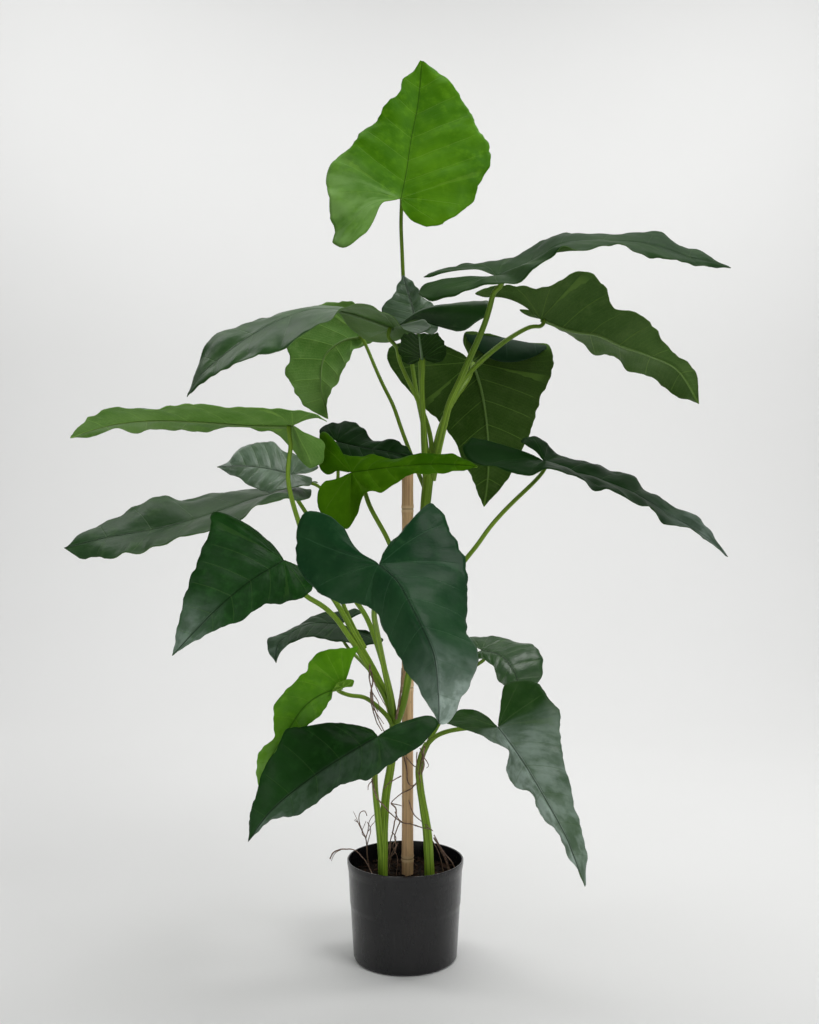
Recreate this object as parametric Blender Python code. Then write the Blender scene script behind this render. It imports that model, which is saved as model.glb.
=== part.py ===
"""Potted alocasia: nursery pot, soil, bamboo stake, two stems with their leaf stalks,
21 arrow-shaped leaf blades and brown aerial roots. Metres, +Z up, front towards -Y.
The origin lies on the pot's underside, on the pot's axis."""
import math

import bpy
import bmesh
import numpy as np

# Driving dimensions
GAP = 0.0003
POT_HEIGHT = 0.130
POT_RIM_RADIUS = 0.0775
POT_BODY_RADIUS = 0.0758
POT_BASE_RADIUS = 0.0690
POT_WALL = 0.0022
POT_FLOOR = 0.0030
POT_RIM_DEPTH = 0.011
POT_RIM_EDGE = 0.0006
POT_STEP_HEIGHT = 0.072
POT_STEP_RADIUS = 0.0738
POT_BASE_ROUND = 0.0040
SOIL_HEIGHT = 0.108
STAKE_X = 0.003
STAKE_RADIUS = 0.0086
STAKE_TOP = 0.648
STAKE_FOOT = 0.020
STAKE_NODES = (0.130, 0.358, 0.596)
STAKE_NODE_BULGE = 0.0009
BLADE_THICKNESS = 0.0008
# How far along the rib the stalk's top lies, then how far below the blade it runs straight and bends.
STALK_OFFSET = 0.005
STALK_NECK = 0.004
STALK_BEND = 0.012
STEM_HOLE_RADIUS = 0.0080

# Rings of the stake's nodes: height from the node and how far each ring stands out
STAKE_RING = ((-0.006, 0.0), (-0.002, 0.0006), (0.0, 0.0003), (0.002, STAKE_NODE_BULGE), (0.007, 0.0))

# How finely things are divided
POT_SEGMENTS = 40
SOIL_SEGMENTS = 36
STAKE_SEGMENTS = 16
POT_ROUND_STEPS = 3
LOBE_ROWS = 6
BLADE_ROWS = 9
BLADE_COLUMNS = 3
EDGE_SAMPLES = 200
STALK_SPACING = 0.022
STEM_SPACING = 0.020
ROOT_SPACING = 0.010
WELD = 0.000001
CUTTER_CLEAR = 0.010
SHARP_ANGLE = math.radians(30)

# Blade rows. A lobe's rows all start at the seat and end where the edge passes LOBE_ANGLE from the
# rib, whose direction is taken LOBE_AIM along it. The strip beside the rib is flat and narrow.
LOBE_AIM = 0.35
LOBE_ANGLE = math.radians(65)
RIB_STEP = 0.02
RIB_STRIP = 0.004
STRIP_SHARE = 0.3

# Colours
POT_COLOR = (0.035, 0.035, 0.037)
SOIL_COLOR = (0.05, 0.025, 0.015)
STAKE_COLOR = (0.42, 0.30, 0.19)
STALK_COLOR = (0.32, 0.46, 0.14)
ROOT_COLOR = (0.30, 0.20, 0.13)
LEAF_COLORS = {
    "bright": (0.20, 0.36, 0.04),
    "mid": (0.16, 0.28, 0.07),
    "dark": (0.03, 0.11, 0.035),
    "deep": (0.03, 0.12, 0.06),
    "sheen": (0.14, 0.21, 0.13),
}

# Where the leaves, stems and roots lie. Each point is (across px, down px, depth m) in the front
# view, and place() turns it into metres. Depth grows away from the viewer and is 0 at the pot's axis.
# A root's end that reaches the soil has "soil" for its px down.
VIEW_CENTRE = (409.5, 512.0)
VIEW_FOCAL = 1089.0
VIEW_DISTANCE = 1.455
VIEW_X = 0.0056
VIEW_Z = 0.592

# Leaf blades with their stalks. rib runs from the seat, where the stalk holds the blade, to the tip.
# a and b are the two edges, each from the gap between the lobes round its lobe towards the tip; a is
# on the side of rib x upper face. arch: how far each half bulges, as a share of its width. waves and
# ripple: waves along each edge and their height in metres.
LEAVES = {
    "leaf_01": dict(
        stem="main", tint="bright", arch=(.05, .05), waves=5, ripple=.0020,
        rib=[(401, 198, .020), (406, 174, .034), (411, 140, .054), (418, 104, .074), (422, 61, .090)],
        a=[(403, 211, .012), (413, 221, .008), (427, 226, .006), (443, 222, .008), (459, 214, .014),
           (472, 202, .020), (479, 186, .028), (489, 167, .034), (488, 145, .044), (477, 127, .054),
           (465, 105, .064), (455, 87, .074), (440, 72, .082)],
        b=[(393, 199, .015), (384, 202, .008), (376, 218, .000), (360, 239, -.006),
           (343, 248, -.006), (333, 243, .000), (334, 231, .008), (330, 215, .014),
           (328, 195, .020), (326, 181, .026), (334, 160, .036), (350, 150, .044),
           (361, 131, .052), (377, 119, .058), (385, 106, .064), (399, 93, .070),
           (403, 79, .080), (413, 71, .086)],
        stalk=[(401, 222, .035), (402, 250, .055), (404, 290, .085), (409, 340, .085),
               (416, 390, .068), (424, 430, .040), (428, 478, .002)],
        stalk_radius=(.0024, .0034)),
    "leaf_02": dict(
        stem="main", tint="sheen", arch=(.05, .05), waves=4, ripple=.0015,
        rib=[(497, 276, -.120), (527, 268, -.120), (560, 244, -.120), (600, 241, -.115),
             (645, 243, -.110), (690, 257, -.090), (731, 268, -.070)],
        a=[(485, 278, -.125), (455, 281, -.130), (417, 288, -.135), (428, 299, -.160),
           (447, 297, -.175), (466, 294, -.185), (482, 285, -.190), (503, 283, -.195),
           (520, 282, -.195), (534, 267, -.195), (550, 257, -.190), (560, 248, -.190),
           (582, 252, -.180), (600, 247, -.170), (617, 244, -.160), (634, 250, -.150),
           (655, 258, -.135), (680, 262, -.115), (700, 265, -.095)],
        b=[(487, 272, -.115), (460, 273, -.110), (424, 276, -.100), (440, 271, -.075),
           (470, 264, -.060), (500, 259, -.050), (530, 249, -.045), (548, 240, -.045),
           (562, 235, -.045), (600, 235, -.050), (640, 235, -.055), (664, 234, -.060),
           (681, 246, -.065), (700, 251, -.066), (716, 262, -.068)],
        stalk=[(495, 289, -.110), (491, 303, -.100), (485, 323, -.085), (478, 340, -.075),
               (468, 362, -.060), (458, 385, -.045), (450, 402, -.035), (444, 425, -.020),
               (438, 450, -.010), (432, 480, .000)],
        stalk_radius=(.0032, .0054)),
    "leaf_03": dict(
        stem="main", tint="mid", arch=(.05, .05), waves=4, ripple=.0020,
        rib=[(541, 319, .030), (575, 331, .030), (596, 334, .030), (620, 345, .030),
             (645, 354, .030), (675, 368, .033), (699, 404, .040)],
        a=[(533, 313, .028), (520, 305, .022), (500, 299, .014), (484, 297, .008),
           (475, 293, .005), (486, 287, .005), (505, 286, .003), (522, 286, .002),
           (540, 288, .000), (556, 283, .000), (570, 274, -.003), (582, 271, -.005),
           (598, 279, -.003), (607, 290, .000), (612, 307, .006), (632, 311, .008),
           (650, 322, .013), (660, 337, .018), (672, 353, .024), (688, 362, .028),
           (697, 378, .034)],
        b=[(541, 315, .036), (530, 311, .045), (520, 309, .052), (524, 313, .060),
           (536, 318, .066), (548, 324, .070), (565, 332, .080), (583, 344, .085),
           (594, 355, .090), (617, 357, .088), (626, 369, .082), (650, 377, .074),
           (667, 389, .064), (685, 399, .052)],
        stalk=[(534, 326, .008), (518, 333, -.015), (495, 349, -.035), (474, 368, -.045),
               (460, 384, -.045), (452, 402, -.035)],
        stalk_radius=(.0026, .0038)),
    "leaf_04": dict(
        stem="main", tint="sheen", arch=(.05, .05), waves=4, ripple=.0015,
        rib=[(394, 328, -.050), (368, 318, -.055), (340, 310, -.060), (315, 309, -.065),
             (292, 315, -.070), (268, 326, -.075), (240, 343, -.080), (218, 360, -.080),
             (200, 376, -.075), (187, 397, -.070)],
        a=[(406, 322, -.045), (432, 327, -.035), (458, 331, -.030), (478, 321, -.030),
           (490, 311, -.030), (488, 301, -.025), (470, 309, -.015), (450, 315, -.010),
           (425, 320, -.005), (405, 335, .000), (388, 342, .000), (365, 338, .000),
           (347, 326, -.005), (335, 309, -.010), (312, 307, -.020), (290, 311, -.030),
           (272, 315, -.035), (252, 324, -.040), (235, 328, -.045), (214, 336, -.050),
           (202, 354, -.055), (193, 376, -.060)],
        b=[(402, 326, -.055), (415, 322, -.060), (426, 320, -.070), (430, 326, -.080),
           (417, 334, -.090), (404, 330, -.105), (392, 318, -.115), (375, 308, -.125),
           (355, 305, -.130), (341, 308, -.130), (330, 321, -.130), (308, 331, -.130),
           (285, 347, -.125), (262, 354, -.120), (240, 363, -.110), (222, 370, -.100),
           (206, 379, -.090)],
        stalk=[(396, 345, -.036), (399, 360, -.014), (407, 378, -.010), (414, 392, -.010),
               (420, 405, -.010), (426, 420, -.008), (431, 440, -.005), (431, 470, .000)],
        stalk_radius=(.0024, .0034)),
    "leaf_05": dict(
        stem="main", tint="mid", arch=(.05, .05), waves=3, ripple=.0020,
        rib=[(364, 338, .100), (345, 341, .100), (327, 354, .100), (321, 382, .090),
             (328, 419, .080)],
        a=[(368, 334, .100), (378, 326, .105), (386, 322, .108), (385, 330, .100),
           (374, 341, .095), (362, 346, .090), (353, 351, .086), (349, 362, .082),
           (339, 377, .078), (332, 390, .078), (327, 404, .078)],
        b=[(362, 330, .105), (360, 315, .112), (352, 302, .118), (340, 303, .120),
           (325, 302, .120), (310, 310, .118), (296, 325, .112), (286, 346, .105),
           (291, 360, .100), (285, 370, .098), (293, 388, .092), (301, 401, .088),
           (312, 411, .084), (322, 416, .081)],
        stalk=[(368, 350, .085), (372, 360, .080), (383, 385, .070), (393, 405, .060),
               (401, 428, .048), (410, 452, .034), (427, 494, -.004)],
        stalk_radius=(.0023, .0030)),
    "leaf_06": dict(
        stem="main", tint="dark", arch=(.05, .05), waves=3, ripple=.0010,
        rib=[(422, 358, -.050), (421, 350, -.090), (420, 342, -.125), (419, 334, -.155)],
        a=[(418, 362, -.035), (410, 364, -.020), (403, 361, -.030), (400, 354, -.050),
           (399, 345, -.080), (403, 337, -.110), (410, 332, -.140)],
        b=[(428, 361, -.035), (437, 361, -.020), (443, 357, -.030), (446, 349, -.050),
           (443, 340, -.080), (436, 334, -.115), (427, 331, -.140)],
        stalk=[(422, 376, -.048), (422, 390, -.040), (423, 415, -.030), (424, 445, -.015),
               (426, 480, .000)],
        stalk_radius=(.0032, .0044)),
    "leaf_07": dict(
        stem="main", tint="sheen", arch=(.05, .05), waves=3, ripple=.0015,
        rib=[(417, 328, .060), (413, 310, .065), (408, 292, .070), (403, 275, .070)],
        a=[(424, 332, .055), (432, 334, .055), (438, 328, .058), (436, 315, .060),
           (431, 302, .064), (421, 294, .067), (412, 281, .069)],
        b=[(410, 331, .060), (400, 334, .062), (390, 330, .066), (384, 318, .068),
           (383, 308, .069), (392, 297, .070), (397, 286, .070)],
        stalk=[(419, 347, .050), (420, 365, .040), (421, 390, .025), (428, 464, .000)],
        stalk_radius=(.0024, .0032)),
    "leaf_08": dict(
        stem="main", tint="mid", arch=(.05, .05), waves=4, ripple=.0015,
        rib=[(293, 425, -.145), (245, 424, -.150), (200, 421, -.150), (150, 420, -.150),
             (105, 426, -.140), (70, 438, -.120)],
        a=[(300, 432, -.140), (312, 437, -.135), (324, 445, -.130), (323, 460, -.125),
           (312, 467, -.120), (298, 456, -.110), (285, 442, -.100), (272, 432, -.095),
           (250, 427, -.090), (228, 427, -.088), (212, 432, -.088), (190, 431, -.090),
           (165, 428, -.092), (135, 434, -.096), (118, 430, -.100), (96, 434, -.108)],
        b=[(302, 421, -.150), (316, 418, -.155), (326, 420, -.165), (318, 415, -.180),
           (300, 412, -.190), (275, 410, -.200), (245, 407, -.210), (200, 405, -.215),
           (160, 407, -.210), (125, 408, -.195), (105, 410, -.180), (85, 421, -.155)],
        stalk=[(291, 442, -.145), (289, 458, -.150), (288, 480, -.155), (292, 500, -.150),
               (298, 520, -.135), (308, 550, -.120), (325, 585, -.100), (342, 612, -.085),
               (357, 640, -.070), (372, 666, -.052), (388, 700, -.035), (394, 724, -.022)],
        stalk_radius=(.0026, .0040)),
    "leaf_09": dict(
        stem="main", tint="dark", arch=(.05, .05), waves=4, ripple=.0030,
        rib=[(337, 441, -.040), (362, 447, -.040), (392, 452, -.040), (417, 459, -.040)],
        a=[(332, 444, -.043), (325, 448, -.048), (326, 457, -.055), (338, 465, -.060),
           (355, 466, -.060), (375, 464, -.056), (395, 462, -.050)],
        b=[(330, 438, -.037), (321, 433, -.032), (321, 427, -.026), (330, 424, -.020),
           (338, 425, -.018), (345, 419, -.015), (353, 423, -.015), (361, 429, -.018),
           (371, 438, -.022), (388, 440, -.028), (405, 445, -.033)],
        stalk=[(338, 457, -.010), (338, 480, .000), (332, 510, -.010), (328, 550, -.030),
               (338, 590, -.060), (350, 620, -.070), (365, 648, -.060)],
        stalk_radius=(.0022, .0028)),
    "leaf_10": dict(
        stem="main", tint="bright", arch=(.05, .05), waves=4, ripple=.0015,
        rib=[(352, 472, -.120), (392, 467, -.130), (440, 464, -.130), (478, 467, -.120)],
        a=[(340, 478, -.125), (324, 484, -.130), (316, 496, -.135), (318, 510, -.135),
           (332, 522, -.135), (347, 530, -.130), (356, 514, -.135), (362, 499, -.140),
           (370, 492, -.145), (382, 494, -.150), (395, 483, -.150), (407, 475, -.150),
           (430, 475, -.145), (447, 473, -.138), (460, 470, -.130)],
        b=[(340, 470, -.115), (326, 474, -.105), (318, 462, -.100), (319, 445, -.095),
           (323, 431, -.090), (332, 437, -.090), (340, 452, -.095), (352, 457, -.100),
           (370, 455, -.105), (395, 458, -.110), (430, 455, -.115), (455, 455, -.117),
           (470, 462, -.119)],
        stalk=[(364, 489, -.105), (369, 505, -.100), (376, 518, -.095), (388, 540, -.085),
               (394, 555, -.080), (402, 590, -.065), (408, 620, -.050), (411, 655, -.040)],
        stalk_radius=(.0028, .0032)),
    "leaf_11": dict(
        stem="main", tint="sheen", arch=(.05, .05), waves=3, ripple=.0020,
        rib=[(292, 474, -.045), (265, 468, -.050), (240, 466, -.055), (217, 467, -.060)],
        a=[(300, 474, -.043), (312, 473, -.039), (317, 468, -.034), (308, 460, -.030),
           (295, 455, -.028), (282, 451, -.028), (272, 441, -.030), (262, 442, -.032),
           (245, 447, -.038), (238, 450, -.042), (229, 460, -.050)],
        b=[(300, 476, -.048), (313, 478, -.055), (312, 484, -.062), (296, 487, -.067),
           (278, 490, -.070), (258, 490, -.070), (247, 485, -.068), (238, 477, -.066),
           (226, 472, -.063)],
        stalk=[(304, 482, -.042), (316, 484, -.040), (325, 492, -.038), (329, 510, -.036),
               (328, 535, -.036), (330, 561, -.041)],
        stalk_radius=(.0020, .0024)),
    "leaf_12": dict(
        stem="main", tint="sheen", arch=(.05, .05), waves=4, ripple=.0015,
        rib=[(297, 487, -.030), (250, 500, -.050), (210, 514, -.060), (165, 527, -.070),
             (110, 537, -.070), (64, 548, -.060)],
        a=[(303, 484, -.025), (312, 482, -.020), (318, 484, -.010), (308, 482, .000),
           (295, 481, .010), (283, 483, .020), (262, 492, .020), (240, 491, .015),
           (222, 492, .010), (200, 497, .000), (183, 502, -.010), (166, 496, -.020),
           (150, 498, -.025), (136, 505, -.030), (120, 518, -.035), (95, 526, -.045),
           (75, 538, -.055)],
        b=[(303, 490, -.035), (312, 491, -.050), (308, 497, -.070), (296, 499, -.090),
           (280, 501, -.105), (262, 505, -.115), (243, 517, -.125), (225, 524, -.130),
           (205, 533, -.130), (185, 538, -.130), (166, 543, -.125), (150, 547, -.120),
           (140, 553, -.115), (126, 553, -.110), (118, 558, -.105), (97, 556, -.090),
           (82, 558, -.075)],
        stalk=[(300, 503, -.025), (304, 510, -.022), (311, 520, -.025), (322, 545, -.035),
               (340, 580, -.050), (355, 600, -.060), (366, 616, -.060), (374, 636, -.055),
               (381, 657, -.045), (388, 682, -.035), (393, 705, -.030), (395, 724, -.020)],
        stalk_radius=(.0026, .0038)),
    "leaf_13": dict(
        stem="main", tint="dark", arch=(.05, .05), waves=4, ripple=.0015,
        rib=[(284, 560, -.160), (250, 581, -.178), (222, 604, -.190), (196, 630, -.198),
             (172, 656, -.200)],
        a=[(277, 550, -.155), (262, 535, -.150), (245, 523, -.150), (230, 516, -.152),
           (213, 513, -.158), (210, 532, -.168), (203, 547, -.175), (193, 571, -.184),
           (184, 598, -.190), (178, 626, -.196), (174, 643, -.199)],
        b=[(291, 563, -.155), (303, 569, -.150), (313, 580, -.150), (311, 591, -.155),
           (298, 600, -.165), (280, 603, -.172), (262, 606, -.178), (240, 620, -.186),
           (215, 631, -.192), (190, 643, -.197)],
        stalk=[(292, 577, -.130), (300, 590, -.115), (307, 597, -.108), (320, 604, -.100),
               (335, 617, -.090), (348, 635, -.080), (362, 656, -.065), (375, 678, -.050),
               (388, 703, -.035), (393, 724, -.022)],
        stalk_radius=(.0028, .0042)),
    "leaf_14": dict(
        stem="main", tint="deep", arch=(.05, .05), waves=4, ripple=.0015,
        rib=[(379, 564, -.270), (397, 580, -.290), (410, 603, -.305), (421, 625, -.315),
             (433, 652, -.320), (438, 690, -.310), (439, 724, -.290)],
        a=[(366, 559, -.262), (353, 545, -.250), (345, 529, -.243), (333, 518, -.238),
           (318, 512, -.232), (303, 515, -.228), (297, 532, -.228), (297, 562, -.232),
           (305, 579, -.238), (321, 593, -.246), (340, 605, -.255), (357, 603, -.265),
           (371, 608, -.275), (385, 630, -.287), (394, 647, -.294), (405, 669, -.298),
           (420, 690, -.298), (431, 710, -.294)],
        b=[(383, 556, -.265), (390, 543, -.258), (403, 529, -.248), (419, 513, -.238),
           (432, 503, -.232), (441, 511, -.235), (451, 532, -.242), (464, 557, -.250),
           (468, 580, -.258), (466, 612, -.270), (468, 634, -.278), (477, 648, -.280),
           (473, 677, -.285), (464, 694, -.287), (455, 713, -.288), (446, 723, -.289)],
        stalk=[(380, 585, -.240), (377, 599, -.205), (374, 613, -.165), (377, 632, -.120),
               (381, 652, -.090), (386, 677, -.060), (391, 702, -.040), (395, 724, -.022)],
        stalk_radius=(.0030, .0040)),
    "leaf_15": dict(
        stem="main", tint="dark", arch=(.05, .05), waves=4, ripple=.0015,
        rib=[(544, 461, -.020), (560, 468, -.020), (590, 476, -.020), (620, 487, -.020),
             (650, 502, -.018), (670, 515, -.012), (700, 533, -.006), (728, 557, .000)],
        a=[(535, 458, -.030), (510, 450, -.045), (490, 442, -.055), (475, 437, -.065),
           (464, 445, -.075), (466, 457, -.085), (480, 466, -.090), (500, 469, -.095),
           (518, 474, -.100), (532, 473, -.100), (546, 468, -.100), (562, 472, -.098),
           (584, 480, -.095), (592, 489, -.090), (612, 490, -.080), (634, 501, -.070),
           (650, 507, -.060), (664, 524, -.045), (690, 530, -.030), (712, 543, -.012)],
        b=[(538, 455, -.012), (530, 448, -.005), (522, 442, .005), (526, 436, .015),
           (535, 436, .022), (545, 442, .028), (550, 450, .030), (575, 459, .035),
           (598, 463, .035), (609, 472, .033), (636, 477, .030), (645, 489, .027),
           (658, 495, .022), (673, 508, .018), (686, 512, .012), (704, 521, .008),
           (714, 538, .004)],
        stalk=[(542, 473, -.022), (537, 479, -.030), (530, 486, -.040), (510, 505, -.045),
               (490, 527, -.050), (475, 548, -.055), (465, 560, -.055), (450, 585, -.055),
               (432, 620, -.050), (418, 652, -.040)],
        stalk_radius=(.0026, .0034)),
    "leaf_16": dict(
        stem="main", tint="mid", arch=(.05, .05), waves=4, ripple=.0020,
        rib=[(472, 362, .110), (480, 385, .105), (485, 410, .100), (488, 440, .100),
             (488, 475, .100), (484, 507, .100)],
        a=[(467, 352, .115), (463, 341, .120), (465, 333, .122), (480, 333, .120),
           (500, 337, .118), (525, 342, .115), (549, 346, .110), (553, 365, .105),
           (548, 382, .100), (540, 399, .097), (534, 419, .095), (529, 436, .095),
           (519, 457, .096), (508, 480, .098), (496, 493, .099)],
        b=[(462, 353, .112), (450, 348, .115), (430, 342, .118), (410, 342, .120),
           (392, 345, .120), (387, 353, .118), (392, 368, .115), (405, 386, .110),
           (420, 402, .106), (445, 428, .102), (457, 444, .100), (461, 458, .100),
           (470, 475, .100), (478, 493, .100)],
        stalk=[(470, 376, .085), (463, 387, .065), (452, 403, .040), (441, 426, .020),
               (433, 458, .000)],
        stalk_radius=(.0030, .0040)),
    "leaf_17": dict(
        stem="main", tint="dark", arch=(.05, .05), waves=3, ripple=.0015,
        rib=[(340, 624, .055), (310, 624, .050), (290, 634, .040), (278, 645, .030),
             (276, 663, .020)],
        a=[(350, 620, .060), (362, 612, .065), (352, 609, .075), (335, 613, .080),
           (320, 615, .080), (308, 618, .075), (298, 626, .070), (284, 634, .060),
           (268, 640, .045), (268, 652, .030)],
        b=[(350, 629, .050), (368, 631, .040), (384, 640, .030), (366, 647, .020),
           (342, 643, .012), (322, 640, .010), (304, 638, .012), (292, 642, .015),
           (283, 649, .018)],
        stalk=[(340, 636, .045), (348, 648, .020), (361, 661, -.010), (376, 677, -.045)],
        stalk_radius=(.0020, .0026)),
    "leaf_18": dict(
        stem="main", tint="bright", arch=(.05, .05), waves=4, ripple=.0015,
        rib=[(343, 688, -.095), (322, 694, -.105), (305, 706, -.114), (290, 727, -.122),
             (274, 752, -.126), (259, 787, -.126)],
        a=[(347, 675, -.090), (352, 660, -.088), (358, 648, -.085), (340, 649, -.092),
           (322, 652, -.100), (310, 661, -.108), (305, 672, -.113), (291, 684, -.119),
           (280, 696, -.123), (274, 712, -.126), (274, 728, -.128), (275, 737, -.129),
           (263, 747, -.131), (257, 765, -.131), (257, 779, -.129)],
        b=[(351, 687, -.093), (354, 681, -.095), (343, 680, -.103), (334, 688, -.108),
           (331, 700, -.111), (322, 712, -.114), (308, 726, -.118), (292, 738, -.122),
           (280, 752, -.124), (268, 770, -.125)],
        stalk=[(351, 696, -.080), (359, 696, -.070), (368, 699, -.055), (378, 707, -.045),
               (388, 717, -.035), (394, 730, -.022)],
        stalk_radius=(.0024, .0032)),
    "leaf_19": dict(
        stem="main", tint="dark", arch=(.05, .05), waves=4, ripple=.0015,
        rib=[(378, 736, -.120), (335, 762, -.150), (300, 786, -.165), (270, 812, -.170),
             (248, 842, -.160)],
        a=[(372, 730, -.118), (358, 726, -.120), (340, 723, -.125), (320, 723, -.135),
           (303, 727, -.142), (286, 730, -.150), (279, 746, -.158), (266, 764, -.165),
           (257, 790, -.168), (250, 816, -.165)],
        b=[(385, 731, -.115), (400, 723, -.110), (416, 718, -.105), (431, 716, -.100),
           (438, 722, -.100), (426, 740, -.108), (401, 758, -.120), (384, 769, -.130),
           (365, 780, -.138), (342, 784, -.147), (320, 800, -.155), (298, 813, -.160),
           (270, 822, -.163), (256, 833, -.162)],
        stalk=[(376, 752, -.090), (375, 768, -.070), (375, 787, -.055), (378, 817, -.045),
               (381, 848, -.033), (383, 872, -.030)],
        stalk_radius=(.0030, .0050)),
    "leaf_20": dict(
        stem="right", tint="sheen", arch=(.05, .05), waves=3, ripple=.0010,
        rib=[(482, 650, -.050), (500, 655, -.060), (512, 668, -.068), (519, 686, -.070),
             (521, 706, -.060)],
        a=[(476, 653, -.052), (470, 659, -.054), (480, 657, -.060), (490, 663, -.066),
           (498, 677, -.072), (507, 690, -.073), (515, 700, -.068)],
        b=[(474, 646, -.045), (464, 643, -.038), (468, 637, -.030), (482, 636, -.030),
           (500, 637, -.033), (516, 642, -.037), (531, 645, -.042), (541, 655, -.047),
           (542, 671, -.052), (536, 685, -.056), (528, 697, -.058)],
        stalk=[(474, 666, -.038), (464, 682, -.032), (453, 700, -.030), (442, 718, -.030),
               (434, 732, -.030), (427, 745, -.033)],
        stalk_radius=(.0022, .0030)),
    "leaf_21": dict(
        stem="right", tint="sheen", arch=(.05, .05), waves=5, ripple=.0015,
        rib=[(498, 727, -.140), (520, 757, -.165), (543, 795, -.183), (565, 835, -.193),
             (585, 887, -.190)],
        a=[(486, 716, -.135), (471, 709, -.130), (455, 711, -.125), (441, 721, -.120),
           (455, 727, -.125), (472, 731, -.130), (490, 740, -.140), (508, 751, -.150),
           (508, 775, -.160), (514, 784, -.165), (531, 793, -.173), (539, 813, -.180),
           (554, 828, -.186), (563, 843, -.190), (571, 862, -.192), (580, 872, -.192)],
        b=[(500, 715, -.135), (501, 698, -.130), (505, 684, -.125), (522, 681, -.125),
           (540, 685, -.130), (549, 698, -.138), (558, 710, -.145), (560, 735, -.155),
           (563, 758, -.163), (571, 788, -.172), (578, 818, -.180), (585, 845, -.186),
           (587, 868, -.189)],
        stalk=[(488, 731, -.108), (476, 728, -.088), (460, 729, -.070), (445, 732, -.055),
               (434, 737, -.045), (427, 745, -.035)],
        stalk_radius=(.0022, .0032)),
}

# Main runs of the two stems, with a radius in metres at the end of each point.
STEMS = {
    "main_foot": [
        (394, 722, -.020, .0060), (393, 745, -.020, .0060), (391, 765, -.020, .0056),
        (386, 795, -.025, .0056), (384, 820, -.030, .0062), (383, 850, -.030, .0064),
        (383, 893, -.030, .0064)],
    "main_tall": [
        (394, 727, -.020, .0056), (399, 716, -.030, .0052), (404, 700, -.037, .0048),
        (408, 680, -.040, .0048), (413, 650, -.040, .0052), (418, 610, -.030, .0056),
        (422, 560, -.020, .0062), (425, 510, -.010, .0068), (428, 480, 0, .0074),
        (431, 448, 0, .0060)],
    "right": [
        (430, 893, -.035, .0066), (429, 860, -.035, .0066), (427, 830, -.035, .0060),
        (423, 805, -.030, .0052), (420, 785, -.030, .0050), (419, 770, -.030, .0048),
        (422, 755, -.030, .0046), (427, 744, -.035, .0044)],
}

# Brown roots and one dry stalk: runs of (radius, points).
ROOTS = {
    "root_over_rim": [
        (.0008, [(330, 859, .030), (333, 853, .031), (340, 849.5, .032), (347, 849, .032),
                 (354, 850, .028), (362, 857, .015), (369, 867, .002), (373, "soil", -.005)])],
    "root_tuft": [
        (.0008, [(369, "soil", .030), (367, 853, .030), (366, 840, .029), (363, 832, .028),
                 (360, 825, .028), (359, 818, .028), (361, 812, .028), (364, 811, .028),
                 (367, 816, .028)]),
        (.0006, [(366, 838, .029), (368, 830, .030), (369, 822, .031), (372, 817, .032),
                 (377, 813, .033)])],
    "root_across": [
        (.0009, [(372, 779, -.0650), (374, 790, -.064), (378, 799, -.060), (384, 806, -.051),
                 (391, 814, -.035), (398, 820, -.020), (404, 823, -.0095), (410, 824, -.0090),
                 (416, 826, -.019)])],
    "root_loop": [
        (.0008, [(404, 756, -.0090), (407, 771, -.0094), (409, 784, -.0098), (412, 786, -.0122),
                 (415, 784, -.0175), (418, 780, -.0235)])],
    "root_right": [
        (.0010, [(434, 838, -.032), (438, 845, -.026), (443, 855, -.018), (447, 864, -.012),
                 (449, "soil", -.006)]),
        (.0009, [(438, 845, -.026), (446, 855, -.021), (453, 864, -.018), (457, "soil", -.017)])],
    "root_hanging": [
        (.0008, [(370, 664, -.062), (369, 676, -.064), (372, 692, -.062), (374, 704, -.060),
                 (378, 712, -.057)]),
        (.0006, [(372, 692, -.062), (378, 702, -.064), (380, 712, -.066)])],
    "root_left_soil": [
        (.0009, [(391, 842, -.010), (390, 852, -.012), (388, 862, -.014), (387, "soil", -.014)]),
        (.0007, [(397, 845, -.004), (394, 853, -.010), (388.5, 860, -.0136)])],
    "stalk_dry": [
        (.0014, [(396, 719, -.035), (399, 704, -.0405), (401, 688, -.045), (402, 668, -.046)])],
}


# Shape helpers
def place(point):
    """Metres, for a point given as (across px, down px, depth m) in the front view."""
    across, down, depth = point[:3]
    size = (VIEW_DISTANCE + depth) / VIEW_FOCAL
    if down == "soil":
        height = SOIL_HEIGHT + 2 * GAP
    else:
        height = VIEW_Z - (down - VIEW_CENTRE[1]) * size
    return np.array([VIEW_X + (across - VIEW_CENTRE[0]) * size, depth, height])


def places(points):
    return np.array([place(point) for point in points])


def clear_scene():
    for item in list(bpy.data.objects):
        bpy.data.objects.remove(item, do_unlink=True)


def principled(name, color, roughness):
    material = bpy.data.materials.new(name)
    material.use_nodes = True
    shader = material.node_tree.nodes["Principled BSDF"]
    shader.inputs["Base Color"].default_value = (*color, 1.0)
    shader.inputs["Roughness"].default_value = roughness
    shader.inputs["Metallic"].default_value = 0.0
    return material


def add_object(name, mesh, material):
    item = bpy.data.objects.new(name, mesh)
    mesh.materials.clear()
    mesh.materials.append(material)
    bpy.context.scene.collection.objects.link(item)
    return item


def chord_knots(points):
    steps = np.linalg.norm(np.diff(points, axis=0), axis=1)
    return np.concatenate([[0.0], np.cumsum(steps)])


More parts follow.
